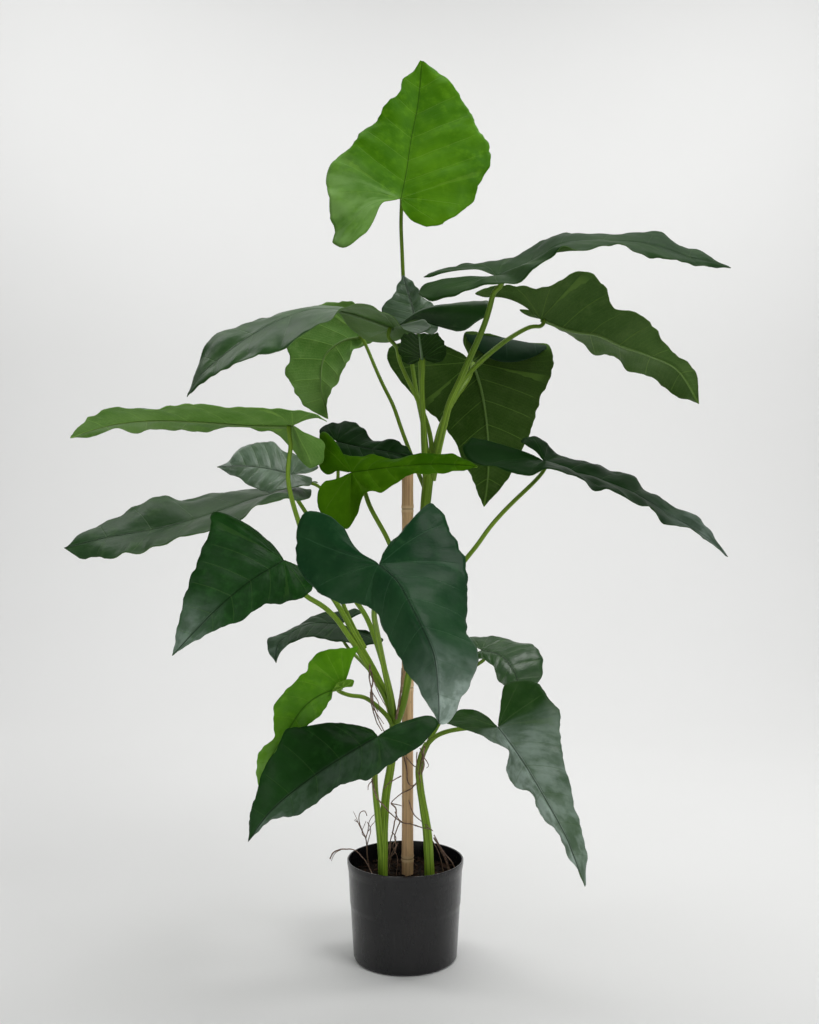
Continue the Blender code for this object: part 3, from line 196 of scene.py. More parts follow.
# Leaf blades with their stalks. rib runs from the seat, where the stalk holds the blade, to the tip.
# a and b are the two edges, each from the gap between the lobes round its lobe towards the tip; a is
# on the side of rib x upper face. waves and ripple: waves along each edge and their height in mm.
# stalk_radius: mm at the blade and at the stem.
LEAVES = {
    "leaf_01": dict(
        stem="main", tint="bright", waves=5, ripple=2, stalk_radius=(2.4, 3.4),
        rib=[(401, 198, 20), (406, 174, 34), (411, 140, 54), (418, 104, 74), (422, 61, 90)],
        a=[(403, 211, 12), (413, 221, 8), (427, 226, 6), (443, 222, 8), (459, 214, 14), (472, 202, 20),
            (479, 186, 28), (489, 167, 34), (488, 145, 44), (477, 127, 54), (465, 105, 64), (455, 87, 74),
            (440, 72, 82)],
        b=[(393, 199, 15), (384, 202, 8), (376, 218, 0), (360, 239, -6), (343, 248, -6), (333, 243, 0),
            (334, 231, 8), (330, 215, 14), (328, 195, 20), (326, 181, 26), (334, 160, 36), (350, 150, 44),
            (361, 131, 52), (377, 119, 58), (385, 106, 64), (399, 93, 70), (403, 79, 80), (413, 71, 86)],
        stalk=[(401, 222, 35), (402, 250, 55), (404, 290, 85), (409, 340, 85), (416, 390, 68),
            (424, 430, 40), (428, 478, 2)]),
    "leaf_02": dict(
        stem="main", tint="sheen", waves=4, ripple=1.5, stalk_radius=(3.2, 5.4),
        rib=[(497, 276, -120), (527, 268, -120), (560, 244, -120), (600, 241, -115), (645, 243, -110),
            (690, 257, -90), (731, 268, -70)],
        a=[(485, 278, -125), (455, 281, -130), (417, 288, -135), (428, 299, -160), (447, 297, -175),
            (466, 294, -185), (482, 285, -190), (503, 283, -195), (520, 282, -195), (534, 267, -195),
            (550, 257, -190), (560, 248, -190), (582, 252, -180), (600, 247, -170), (617, 244, -160),
            (634, 250, -150), (655, 258, -135), (680, 262, -115), (700, 265, -95)],
        b=[(487, 272, -115), (460, 273, -110), (424, 276, -100), (440, 271, -75), (470, 264, -60),
            (500, 259, -50), (530, 249, -45), (548, 240, -45), (562, 235, -45), (600, 235, -50),
            (640, 235, -55), (664, 234, -60), (681, 246, -65), (700, 251, -66), (716, 262, -68)],
        stalk=[(495, 289, -110), (491, 303, -100), (485, 323, -85), (478, 340, -75), (468, 362, -60),
            (458, 385, -45), (450, 402, -35), (444, 425, -20), (438, 450, -10), (432, 480, 0)]),
    "leaf_03": dict(
        stem="main", tint="mid", waves=4, ripple=2, stalk_radius=(2.6, 3.8),
        rib=[(541, 319, 30), (575, 331, 30), (596, 334, 30), (620, 345, 30), (645, 354, 30),
            (675, 368, 33), (699, 404, 40)],
        a=[(533, 313, 28), (520, 305, 22), (500, 299, 14), (484, 297, 8), (475, 293, 5), (486, 287, 5),
            (505, 286, 3), (522, 286, 2), (540, 288, 0), (556, 283, 0), (570, 274, -3), (582, 271, -5),
            (598, 279, -3), (607, 290, 0), (612, 307, 6), (632, 311, 8), (650, 322, 13), (660, 337, 18),
            (672, 353, 24), (688, 362, 28), (697, 378, 34)],
        b=[(541, 315, 36), (530, 311, 45), (520, 309, 52), (524, 313, 60), (536, 318, 66), (548, 324, 70),
            (565, 332, 80), (583, 344, 85), (594, 355, 90), (617, 357, 88), (626, 369, 82), (650, 377, 74),
            (667, 389, 64), (685, 399, 52)],
        stalk=[(534, 326, 8), (518, 333, -15), (495, 349, -35), (474, 368, -45), (460, 384, -45),
            (452, 402, -35)]),
    "leaf_04": dict(
        stem="main", tint="sheen", waves=4, ripple=1.5, stalk_radius=(2.4, 3.4),
        rib=[(394, 328, -50), (368, 318, -55), (340, 310, -60), (315, 309, -65), (292, 315, -70),
            (268, 326, -75), (240, 343, -80), (218, 360, -80), (200, 376, -75), (187, 397, -70)],
        a=[(406, 322, -45), (432, 327, -35), (458, 331, -30), (478, 321, -30), (490, 311, -30),
            (488, 301, -25), (470, 309, -15), (450, 315, -10), (425, 320, -5), (405, 335, 0),
            (388, 342, 0), (365, 338, 0), (347, 326, -5), (335, 309, -10), (312, 307, -20),
            (290, 311, -30), (272, 315, -35), (252, 324, -40), (235, 328, -45), (214, 336, -50),
            (202, 354, -55), (193, 376, -60)],
        b=[(402, 326, -55), (415, 322, -60), (426, 320, -70), (430, 326, -80), (417, 334, -90),
            (404, 330, -105), (392, 318, -115), (375, 308, -125), (355, 305, -130), (341, 308, -130),
            (330, 321, -130), (308, 331, -130), (285, 347, -125), (262, 354, -120), (240, 363, -110),
            (222, 370, -100), (206, 379, -90)],
        stalk=[(396, 345, -36), (399, 360, -14), (407, 378, -10), (414, 392, -10), (420, 405, -10),
            (426, 420, -8), (431, 440, -5), (431, 470, 0)]),
    "leaf_05": dict(
        stem="main", tint="mid", waves=3, ripple=2, stalk_radius=(2.3, 3),
        rib=[(364, 338, 100), (345, 341, 100), (327, 354, 100), (321, 382, 90), (328, 419, 80)],
        a=[(368, 334, 100), (378, 326, 105), (386, 322, 108), (385, 330, 100), (374, 341, 95),
            (362, 346, 90), (353, 351, 86), (349, 362, 82), (339, 377, 78), (332, 390, 78),
            (327, 404, 78)],
        b=[(362, 330, 105), (360, 315, 112), (352, 302, 118), (340, 303, 120), (325, 302, 120),
            (310, 310, 118), (296, 325, 112), (286, 346, 105), (291, 360, 100), (285, 370, 98),
            (293, 388, 92), (301, 401, 88), (312, 411, 84), (322, 416, 81)],
        stalk=[(368, 350, 85), (372, 360, 80), (383, 385, 70), (393, 405, 60), (401, 428, 48),
            (410, 452, 34), (427, 494, -4)]),
    "leaf_06": dict(
        stem="main", tint="dark", waves=3, ripple=1, stalk_radius=(3.2, 4.4),
        rib=[(422, 358, -50), (421, 350, -90), (420, 342, -125), (419, 334, -155)],
        a=[(418, 362, -35), (410, 364, -20), (403, 361, -30), (400, 354, -50), (399, 345, -80),
            (403, 337, -110), (410, 332, -140)],
        b=[(428, 361, -35), (437, 361, -20), (443, 357, -30), (446, 349, -50), (443, 340, -80),
            (436, 334, -115), (427, 331, -140)],
        stalk=[(422, 376, -48), (422, 390, -40), (423, 415, -30), (424, 445, -15), (426, 480, 0)]),
    "leaf_07": dict(
        stem="main", tint="sheen", waves=3, ripple=1.5, stalk_radius=(2.4, 3.2),
        rib=[(417, 328, 60), (413, 310, 65), (408, 292, 70), (403, 275, 70)],
        a=[(424, 332, 55), (432, 334, 55), (438, 328, 58), (436, 315, 60), (431, 302, 64), (421, 294, 67),
            (412, 281, 69)],
        b=[(410, 331, 60), (400, 334, 62), (390, 330, 66), (384, 318, 68), (383, 308, 69), (392, 297, 70),
            (397, 286, 70)],
        stalk=[(419, 347, 50), (420, 365, 40), (421, 390, 25), (428, 464, 0)]),
    "leaf_08": dict(
        stem="main", tint="mid", waves=4, ripple=1.5, stalk_radius=(2.6, 4),
        rib=[(293, 425, -145), (245, 424, -150), (200, 421, -150), (150, 420, -150), (105, 426, -140),
            (70, 438, -120)],
        a=[(300, 432, -140), (312, 437, -135), (324, 445, -130), (323, 460, -125), (312, 467, -120),
            (298, 456, -110), (285, 442, -100), (272, 432, -95), (250, 427, -90), (228, 427, -88),
            (212, 432, -88), (190, 431, -90), (165, 428, -92), (135, 434, -96), (118, 430, -100),
            (96, 434, -108)],
        b=[(302, 421, -150), (316, 418, -155), (326, 420, -165), (318, 415, -180), (300, 412, -190),
            (275, 410, -200), (245, 407, -210), (200, 405, -215), (160, 407, -210), (125, 408, -195),
            (105, 410, -180), (85, 421, -155)],
        stalk=[(291, 442, -145), (289, 458, -150), (288, 480, -155), (292, 500, -150), (298, 520, -135),
            (308, 550, -120), (325, 585, -100), (342, 612, -85), (357, 640, -70), (372, 666, -52),
            (388, 700, -35), (394, 724, -22)]),
    "leaf_09": dict(
        stem="main", tint="dark", waves=4, ripple=3, stalk_radius=(2.2, 2.8),
        rib=[(337, 441, -40), (362, 447, -40), (392, 452, -40), (417, 459, -40)],
        a=[(332, 444, -43), (325, 448, -48), (326, 457, -55), (338, 465, -60), (355, 466, -60),
            (375, 464, -56), (395, 462, -50)],
        b=[(330, 438, -37), (321, 433, -32), (321, 427, -26), (330, 424, -20), (338, 425, -18),
            (345, 419, -15), (353, 423, -15), (361, 429, -18), (371, 438, -22), (388, 440, -28),
            (405, 445, -33)],
        stalk=[(338, 457, -10), (338, 480, 0), (332, 510, -10), (328, 550, -30), (338, 590, -60),
            (350, 620, -70), (365, 648, -60)]),
    "leaf_10": dict(
        stem="main", tint="bright", waves=4, ripple=1.5, stalk_radius=(2.8, 3.2),
        rib=[(352, 472, -120), (392, 467, -130), (440, 464, -130), (478, 467, -120)],
        a=[(340, 478, -125), (324, 484, -130), (316, 496, -135), (318, 510, -135), (332, 522, -135),
            (347, 530, -130), (356, 514, -135), (362, 499, -140), (370, 492, -145), (382, 494, -150),
            (395, 483, -150), (407, 475, -150), (430, 475, -145), (447, 473, -138), (460, 470, -130)],
        b=[(340, 470, -115), (326, 474, -105), (318, 462, -100), (319, 445, -95), (323, 431, -90),
            (332, 437, -90), (340, 452, -95), (352, 457, -100), (370, 455, -105), (395, 458, -110),
            (430, 455, -115), (455, 455, -117), (470, 462, -119)],
        stalk=[(364, 489, -105), (369, 505, -100), (376, 518, -95), (388, 540, -85), (394, 555, -80),
            (402, 590, -65), (408, 620, -50), (411, 655, -40)]),
    "leaf_11": dict(
        stem="main", tint="sheen", waves=3, ripple=2, stalk_radius=(2, 2.4),
        rib=[(292, 474, -45), (265, 468, -50), (240, 466, -55), (217, 467, -60)],
        a=[(300, 474, -43), (312, 473, -39), (317, 468, -34), (308, 460, -30), (295, 455, -28),
            (282, 451, -28), (272, 441, -30), (262, 442, -32), (245, 447, -38), (238, 450, -42),
            (229, 460, -50)],
        b=[(300, 476, -48), (313, 478, -55), (312, 484, -62), (296, 487, -67), (278, 490, -70),
            (258, 490, -70), (247, 485, -68), (238, 477, -66), (226, 472, -63)],
        stalk=[(304, 482, -42), (316, 484, -40), (325, 492, -38), (329, 510, -36), (328, 535, -36),
            (330, 561, -41)]),
    "leaf_12": dict(
        stem="main", tint="sheen", waves=4, ripple=1.5, stalk_radius=(2.6, 3.8),
        rib=[(297, 487, -30), (250, 500, -50), (210, 514, -60), (165, 527, -70), (110, 537, -70),
            (64, 548, -60)],
        a=[(303, 484, -25), (312, 482, -20), (318, 484, -10), (308, 482, 0), (295, 481, 10),
            (283, 483, 20), (262, 492, 20), (240, 491, 15), (222, 492, 10), (200, 497, 0), (183, 502, -10),
            (166, 496, -20), (150, 498, -25), (136, 505, -30), (120, 518, -35), (95, 526, -45),
            (75, 538, -55)],
        b=[(303, 490, -35), (312, 491, -50), (308, 497, -70), (296, 499, -90), (280, 501, -105),
            (262, 505, -115), (243, 517, -125), (225, 524, -130), (205, 533, -130), (185, 538, -130),
            (166, 543, -125), (150, 547, -120), (140, 553, -115), (126, 553, -110), (118, 558, -105),
            (97, 556, -90), (82, 558, -75)],
        stalk=[(300, 503, -25), (304, 510, -22), (311, 520, -25), (322, 545, -35), (340, 580, -50),
            (355, 600, -60), (366, 616, -60), (374, 636, -55), (381, 657, -45), (388, 682, -35),
            (393, 705, -30), (395, 724, -20)]),
    "leaf_13": dict(
        stem="main", tint="dark", waves=4, ripple=1.5, stalk_radius=(2.8, 4.2),
        rib=[(284, 560, -160), (250, 581, -178), (222, 604, -190), (196, 630, -198), (172, 656, -200)],
        a=[(277, 550, -155), (262, 535, -150), (245, 523, -150), (230, 516, -152), (213, 513, -158),
            (210, 532, -168), (203, 547, -175), (193, 571, -184), (184, 598, -190), (178, 626, -196),
            (174, 643, -199)],
        b=[(291, 563, -155), (303, 569, -150), (313, 580, -150), (311, 591, -155), (298, 600, -165),
            (280, 603, -172), (262, 606, -178), (240, 620, -186), (215, 631, -192), (190, 643, -197)],
        stalk=[(292, 577, -130), (300, 590, -115), (307, 597, -108), (320, 604, -100), (335, 617, -90),
            (348, 635, -80), (362, 656, -65), (375, 678, -50), (388, 703, -35), (393, 724, -22)]),
    "leaf_14": dict(
        stem="main", tint="deep", waves=4, ripple=1.5, stalk_radius=(3, 4),
        rib=[(379, 564, -270), (397, 580, -290), (410, 603, -305), (421, 625, -315), (433, 652, -320),
            (438, 690, -310), (439, 724, -290)],
        a=[(366, 559, -262), (353, 545, -250), (345, 529, -243), (333, 518, -238), (318, 512, -232),
            (303, 515, -228), (297, 532, -228), (297, 562, -232), (305, 579, -238), (321, 593, -246),
            (340, 605, -255), (357, 603, -265), (371, 608, -275), (385, 630, -287), (394, 647, -294),
            (405, 669, -298), (420, 690, -298), (431, 710, -294)],
        b=[(383, 556, -265), (390, 543, -258), (403, 529, -248), (419, 513, -238), (432, 503, -232),
            (441, 511, -235), (451, 532, -242), (464, 557, -250), (468, 580, -258), (466, 612, -270),
            (468, 634, -278), (477, 648, -280), (473, 677, -285), (464, 694, -287), (455, 713, -288),
            (446, 723, -289)],
        stalk=[(380, 585, -240), (377, 599, -205), (374, 613, -165), (377, 632, -120), (381, 652, -90),
            (386, 677, -60), (391, 702, -40), (395, 724, -22)]),
    "leaf_15": dict(
        stem="main", tint="dark", waves=4, ripple=1.5, stalk_radius=(2.6, 3.4),
        rib=[(544, 461, -20), (560, 468, -20), (590, 476, -20), (620, 487, -20), (650, 502, -18),
            (670, 515, -12), (700, 533, -6), (728, 557, 0)],
        a=[(535, 458, -30), (510, 450, -45), (490, 442, -55), (475, 437, -65), (464, 445, -75),
            (466, 457, -85), (480, 466, -90), (500, 469, -95), (518, 474, -100), (532, 473, -100),
            (546, 468, -100), (562, 472, -98), (584, 480, -95), (592, 489, -90), (612, 490, -80),
            (634, 501, -70), (650, 507, -60), (664, 524, -45), (690, 530, -30), (712, 543, -12)],
        b=[(538, 455, -12), (530, 448, -5), (522, 442, 5), (526, 436, 15), (535, 436, 22), (545, 442, 28),
            (550, 450, 30), (575, 459, 35), (598, 463, 35), (609, 472, 33), (636, 477, 30), (645, 489, 27),
            (658, 495, 22), (673, 508, 18), (686, 512, 12), (704, 521, 8), (714, 538, 4)],
        stalk=[(542, 473, -22), (537, 479, -30), (530, 486, -40), (510, 505, -45), (490, 527, -50),
            (475, 548, -55), (465, 560, -55), (450, 585, -55), (432, 620, -50), (418, 652, -40)]),
    "leaf_16": dict(
        stem="main", tint="mid", waves=4, ripple=2, stalk_radius=(3, 4),
        rib=[(472, 362, 110), (480, 385, 105), (485, 410, 100), (488, 440, 100), (488, 475, 100),
            (484, 507, 100)],
        a=[(467, 352, 115), (463, 341, 120), (465, 333, 122), (480, 333, 120), (500, 337, 118),
            (525, 342, 115), (549, 346, 110), (553, 365, 105), (548, 382, 100), (540, 399, 97),
            (534, 419, 95), (529, 436, 95), (519, 457, 96), (508, 480, 98), (496, 493, 99)],
        b=[(462, 353, 112), (450, 348, 115), (430, 342, 118), (410, 342, 120), (392, 345, 120),
            (387, 353, 118), (392, 368, 115), (405, 386, 110), (420, 402, 106), (445, 428, 102),
            (457, 444, 100), (461, 458, 100), (470, 475, 100), (478, 493, 100)],
        stalk=[(470, 376, 85), (463, 387, 65), (452, 403, 40), (441, 426, 20), (433, 458, 0)]),
    "leaf_17": dict(
        stem="main", tint="dark", waves=3, ripple=1.5, stalk_radius=(2, 2.6),
        rib=[(340, 624, 55), (310, 624, 50), (290, 634, 40), (278, 645, 30), (276, 663, 20)],
        a=[(350, 620, 60), (362, 612, 65), (352, 609, 75), (335, 613, 80), (320, 615, 80), (308, 618, 75),
            (298, 626, 70), (284, 634, 60), (268, 640, 45), (268, 652, 30)],
        b=[(350, 629, 50), (368, 631, 40), (384, 640, 30), (366, 647, 20), (342, 643, 12), (322, 640, 10),
            (304, 638, 12), (292, 642, 15), (283, 649, 18)],
        stalk=[(340, 636, 45), (348, 648, 20), (361, 661, -10), (376, 677, -45)]),
    "leaf_18": dict(
        stem="main", tint="bright", waves=4, ripple=1.5, stalk_radius=(2.4, 3.2),
        rib=[(343, 688, -95), (322, 694, -105), (305, 706, -114), (290, 727, -122), (274, 752, -126),
            (259, 787, -126)],
        a=[(347, 675, -90), (352, 660, -88), (358, 648, -85), (340, 649, -92), (322, 652, -100),
            (310, 661, -108), (305, 672, -113), (291, 684, -119), (280, 696, -123), (274, 712, -126),
            (274, 728, -128), (275, 737, -129), (263, 747, -131), (257, 765, -131), (257, 779, -129)],
        b=[(351, 687, -93), (354, 681, -95), (343, 680, -103), (334, 688, -108), (331, 700, -111),
            (322, 712, -114), (308, 726, -118), (292, 738, -122), (280, 752, -124), (268, 770, -125)],
        stalk=[(351, 696, -80), (359, 696, -70), (368, 699, -55), (378, 707, -45), (388, 717, -35),
            (394, 730, -22)]),
    "leaf_19": dict(
        stem="main", tint="dark", waves=4, ripple=1.5, stalk_radius=(3, 5),
        rib=[(378, 736, -120), (335, 762, -150), (300, 786, -165), (270, 812, -170), (248, 842, -160)],
        a=[(372, 730, -118), (358, 726, -120), (340, 723, -125), (320, 723, -135), (303, 727, -142),
            (286, 730, -150), (279, 746, -158), (266, 764, -165), (257, 790, -168), (250, 816, -165)],
        b=[(385, 731, -115), (400, 723, -110), (416, 718, -105), (431, 716, -100), (438, 722, -100),
            (426, 740, -108), (401, 758, -120), (384, 769, -130), (365, 780, -138), (342, 784, -147),
            (320, 800, -155), (298, 813, -160), (270, 822, -163), (256, 833, -162)],
        stalk=[(376, 752, -90), (375, 768, -70), (375, 787, -55), (378, 817, -45), (381, 848, -33),
            (383, 872, -30)]),
    "leaf_20": dict(
        stem="right", tint="sheen", waves=3, ripple=1, stalk_radius=(2.2, 3),
        rib=[(482, 650, -50), (500, 655, -60), (512, 668, -68), (519, 686, -70), (521, 706, -60)],
        a=[(476, 653, -52), (470, 659, -54), (480, 657, -60), (490, 663, -66), (498, 677, -72),
            (507, 690, -73), (515, 700, -68)],
        b=[(474, 646, -45), (464, 643, -38), (468, 637, -30), (482, 636, -30), (500, 637, -33),
            (516, 642, -37), (531, 645, -42), (541, 655, -47), (542, 671, -52), (536, 685, -56),
            (528, 697, -58)],
        stalk=[(474, 666, -38), (464, 682, -32), (453, 700, -30), (442, 718, -30), (434, 732, -30),
            (427, 745, -33)]),
    "leaf_21": dict(
        stem="right", tint="sheen", waves=5, ripple=1.5, stalk_radius=(2.2, 3.2),
        rib=[(498, 727, -140), (520, 757, -165), (543, 795, -183), (565, 835, -193), (585, 887, -190)],
        a=[(486, 716, -135), (471, 709, -130), (455, 711, -125), (441, 721, -120), (455, 727, -125),
            (472, 731, -130), (490, 740, -140), (508, 751, -150), (508, 775, -160), (514, 784, -165),
            (531, 793, -173), (539, 813, -180), (554, 828, -186), (563, 843, -190), (571, 862, -192),
            (580, 872, -192)],
        b=[(500, 715, -135), (501, 698, -130), (505, 684, -125), (522, 681, -125), (540, 685, -130),
            (549, 698, -138), (558, 710, -145), (560, 735, -155), (563, 758, -163), (571, 788, -172),
            (578, 818, -180), (585, 845, -186), (587, 868, -189)],
        stalk=[(488, 731, -108), (476, 728, -88), (460, 729, -70), (445, 732, -55), (434, 737, -45),
            (427, 745, -35)]),
}

# Main runs of the two stems. Each point has its radius in mm as a fourth number.
STEMS = {
    "main_foot": [(394, 722, -20, 6), (393, 745, -20, 6), (391, 765, -20, 5.6), (386, 795, -25, 5.6),
        (384, 820, -30, 6.2), (383, 850, -30, 6.4), (383, 893, -30, 6.4)],
    "main_tall": [(394, 727, -20, 5.6), (399, 716, -30, 5.2), (404, 700, -37, 4.8), (408, 680, -40, 4.8),
        (413, 650, -40, 5.2), (418, 610, -30, 5.6), (422, 560, -20, 6.2), (425, 510, -10, 6.8),
        (428, 480, 0, 7.4), (431, 448, 0, 6)],
    "right": [(430, 893, -35, 6.6), (429, 860, -35, 6.6), (427, 830, -35, 6), (423, 805, -30, 5.2),
        (420, 785, -30, 5), (419, 770, -30, 4.8), (422, 755, -30, 4.6), (427, 744, -35, 4.4)],
}

# Brown roots and one dry stalk: runs of (radius mm, points).
ROOTS = {
    "root_over_rim": [
        (0.8, [(330, 859, 30), (333, 853, 31), (340, 849.5, 32), (347, 849, 32), (354, 850, 28),
            (362, 857, 15), (369, 867, 2), (373, "soil", -5)])],
    "root_tuft": [
        (0.8, [(369, "soil", 30), (367, 853, 30), (366, 840, 29), (363, 832, 28), (360, 825, 28),
            (359, 818, 28), (361, 812, 28), (364, 811, 28), (367, 816, 28)]),
        (0.6, [(366, 838, 29), (368, 830, 30), (369, 822, 31), (372, 817, 32), (377, 813, 33)])],
    "root_across": [
        (0.9, [(372, 779, -65), (374, 790, -64), (378, 799, -60), (384, 806, -51), (391, 814, -35),
            (398, 820, -20), (404, 823, -9.5), (410, 824, -9), (416, 826, -19)])],
    "root_loop": [
        (0.8, [(404, 756, -9), (407, 771, -9.4), (409, 784, -9.8), (412, 786, -12.2), (415, 784, -17.5),
            (418, 780, -23.5)])],
    "root_right": [
        (1, [(434, 838, -32), (438, 845, -26), (443, 855, -18), (447, 864, -12), (449, "soil", -6)]),
        (0.9, [(438, 845, -26), (446, 855, -21), (453, 864, -18), (457, "soil", -17)])],
    "root_hanging": [
        (0.8, [(370, 664, -62), (369, 676, -64), (372, 692, -62), (374, 704, -60), (378, 712, -57)]),
        (0.6, [(372, 692, -62), (378, 702, -64), (380, 712, -66)])],
    "root_left_soil": [
        (0.9, [(391, 842, -10), (390, 852, -12), (388, 862, -14), (387, "soil", -14)]),
        (0.7, [(397, 845, -4), (394, 853, -10), (388.5, 860, -13.6)])],
    "stalk_dry": [
        (1.4, [(396, 719, -35), (399, 704, -40.5), (401, 688, -45), (402, 668, -46)])],
}

# More fine roots, which only the scene has. The same kind of runs.
FINE_ROOTS = {
    "roots_tuft_fine": [
        (0.5, [(363, 832, 28), (359.5, 826, 26), (356.5, 818, 26), (353.4, 811.6, 26)]),
        (0.5, [(366, 838, 29), (362, 833, 34), (364, 826, 36), (366, 821, 36)]),
        (0.6, [(367, 846, 29), (369, 838, 26), (370.5, 831, 24), (369.5, 826, 23), (367, 822, 24)]),
        (0.5, [(365, 836, 29), (361, 829, 31), (358, 823, 33), (355, 819, 33)]),
        (0.5, [(368.5, 831, 30), (371, 826, 27), (374.5, 822, 26), (376, 818, 27)]),
        (0.4, [(360, 825, 28), (357, 822, 26), (354, 820, 27)]),
        (0.5, [(341, 849.5, 32), (337, 851.5, 30), (333.5, 856, 29), (331.5, 861, 28)])],
    "roots_left_fine": [
        (0.9, [(369.5, 668, -63), (373, 680, -67), (371, 690, -67), (373, 704, -64), (376, 713, -60),
            (380, 723, -55), (385, 733, -45)]),
        (0.8, [(370.4, 692, -63), (372, 706, -62), (374, 714, -58), (377, 723, -52), (382, 731, -45)]),
        (0.6, [(371, 674, -64), (376, 687, -66), (382, 700, -64), (388, 710, -58)]),
        (0.6, [(373, 708, -61), (378, 716, -58), (384, 724, -52)]),
        (0.6, [(372, 781, -66), (368.5, 785, -66), (368, 790, -65)])],
    "roots_middle_fine": [
        (0.9, [(424.3, 746, -40), (423.4, 756, -36), (424, 766, -35.2), (421, 775, -33), (415, 785, -17),
            (410, 789.5, -9.8), (404, 792, -9.6), (397, 797, -22), (391, 803, -33)]),
        (0.7, [(406, 757, -9.5), (411, 763, -10.5), (417, 768, -24), (421, 771, -34.5)]),
        (0.7, [(409, 800, -9.4), (411, 808, -9.7), (414, 814, -12), (420, 820, -26), (427, 826, -41.2),
            (433, 831, -41.5)]),
        (0.8, [(414, 825, -10), (420, 827, -26), (427, 828.5, -41.5), (432, 829.5, -40.5)]),
        (0.8, [(391, 803, -33), (395.3, 808, -30), (396, 816, -26), (394.5, 823, -22), (393, 832, -20),
            (390, 842, -18), (387, 856, -16.5), (384, "soil", -14)]),
        (0.7, [(400, 822, -10), (397, 829, -13), (394.5, 836, -17), (396, 846, -19), (391, 855, -16),
            (389, "soil", -8)]),
        (0.6, [(392, 803.5, -32), (397, 804.5, -22), (402, 806, -10.2)]),
        (0.6, [(395, 812, -28), (398, 818, -22), (402, 822, -10.2)]),
        (0.7, [(401, 776, -9.4), (394, 780, -22), (389, 783, -32), (384, 789, -30)]),
        (0.6, [(392, 832, -20), (396, 838, -17), (393, 846, -16), (397, 856, -14), (396, "soil", -10)]),
        (0.6, [(398, 843, -12), (393, 851, -14), (390, 862, -14), (387, "soil", -12)])],
    "roots_right_fine": [
        (0.7, [(420, 748, -34), (422.5, 757, -35.5), (420.5, 767, -35), (419.5, 777, -34.5)]),
        (0.6, [(417, 752, -31), (416.5, 762, -32), (418, 772, -34.5), (421, 783, -34.5)]),
        (0.6, [(424, 757, -34), (427, 762, -32), (428.5, 766, -33), (426.5, 768, -34)]),
        (0.6, [(432, 840, -34), (437, 849, -26), (441, 860, -18), (444, "soil", -12)]),
        (0.6, [(434, 835, -33.5), (440, 846, -26), (446, 858, -20), (452, "soil", -16)])],
}

# The folded margin of one blade: its fold line along the blade's edge, and its free edge.
FOLD_LINE = [(465, 334, 121.5), (480, 333, 120), (500, 337, 117.5), (525, 342, 114.5), (549, 346, 109.5)]
FOLD_EDGE = [(468, 341, 116), (479, 351, 108), (496, 360.5, 103), (515, 362, 101), (533, 357, 102),
    (549, 347, 108.5)]
FOLD_BULGE = 0.004

# Looks of the pieces. Colours are linear.
LEAF_FINISH = {
    # tint: shade, light, vein, underside shade, underside light
    "bright": ((0.045, 0.160, 0.001), (0.120, 0.310, 0.008), (0.19, 0.36, 0.04),
               (0.060, 0.160, 0.004), (0.140, 0.280, 0.030)),
    "mid": ((0.016, 0.065, 0.003), (0.050, 0.125, 0.012), (0.13, 0.24, 0.04),
            (0.046, 0.120, 0.012), (0.110, 0.200, 0.045)),
    "dark": ((0.004, 0.032, 0.002), (0.016, 0.075, 0.010), (0.06, 0.14, 0.03),
             (0.014, 0.055, 0.003), (0.040, 0.100, 0.016)),
    "deep": ((0.005, 0.034, 0.010), (0.018, 0.066, 0.021), (0.05, 0.13, 0.06),
             (0.012, 0.048, 0.010), (0.035, 0.085, 0.028)),
    "sheen": ((0.010, 0.050, 0.005), (0.040, 0.100, 0.022), (0.10, 0.18, 0.06),
              (0.042, 0.110, 0.012), (0.100, 0.180, 0.045)),
}
# Painted sheen: pale grey-green laid into the upper faces' colour where the lamps' reflection shows, and a
# greener one for bright leaves
PAINTED_SHEEN = (0.520, 0.640, 0.575)
BRIGHT_PAINTED_SHEEN = (0.400, 0.640, 0.230)
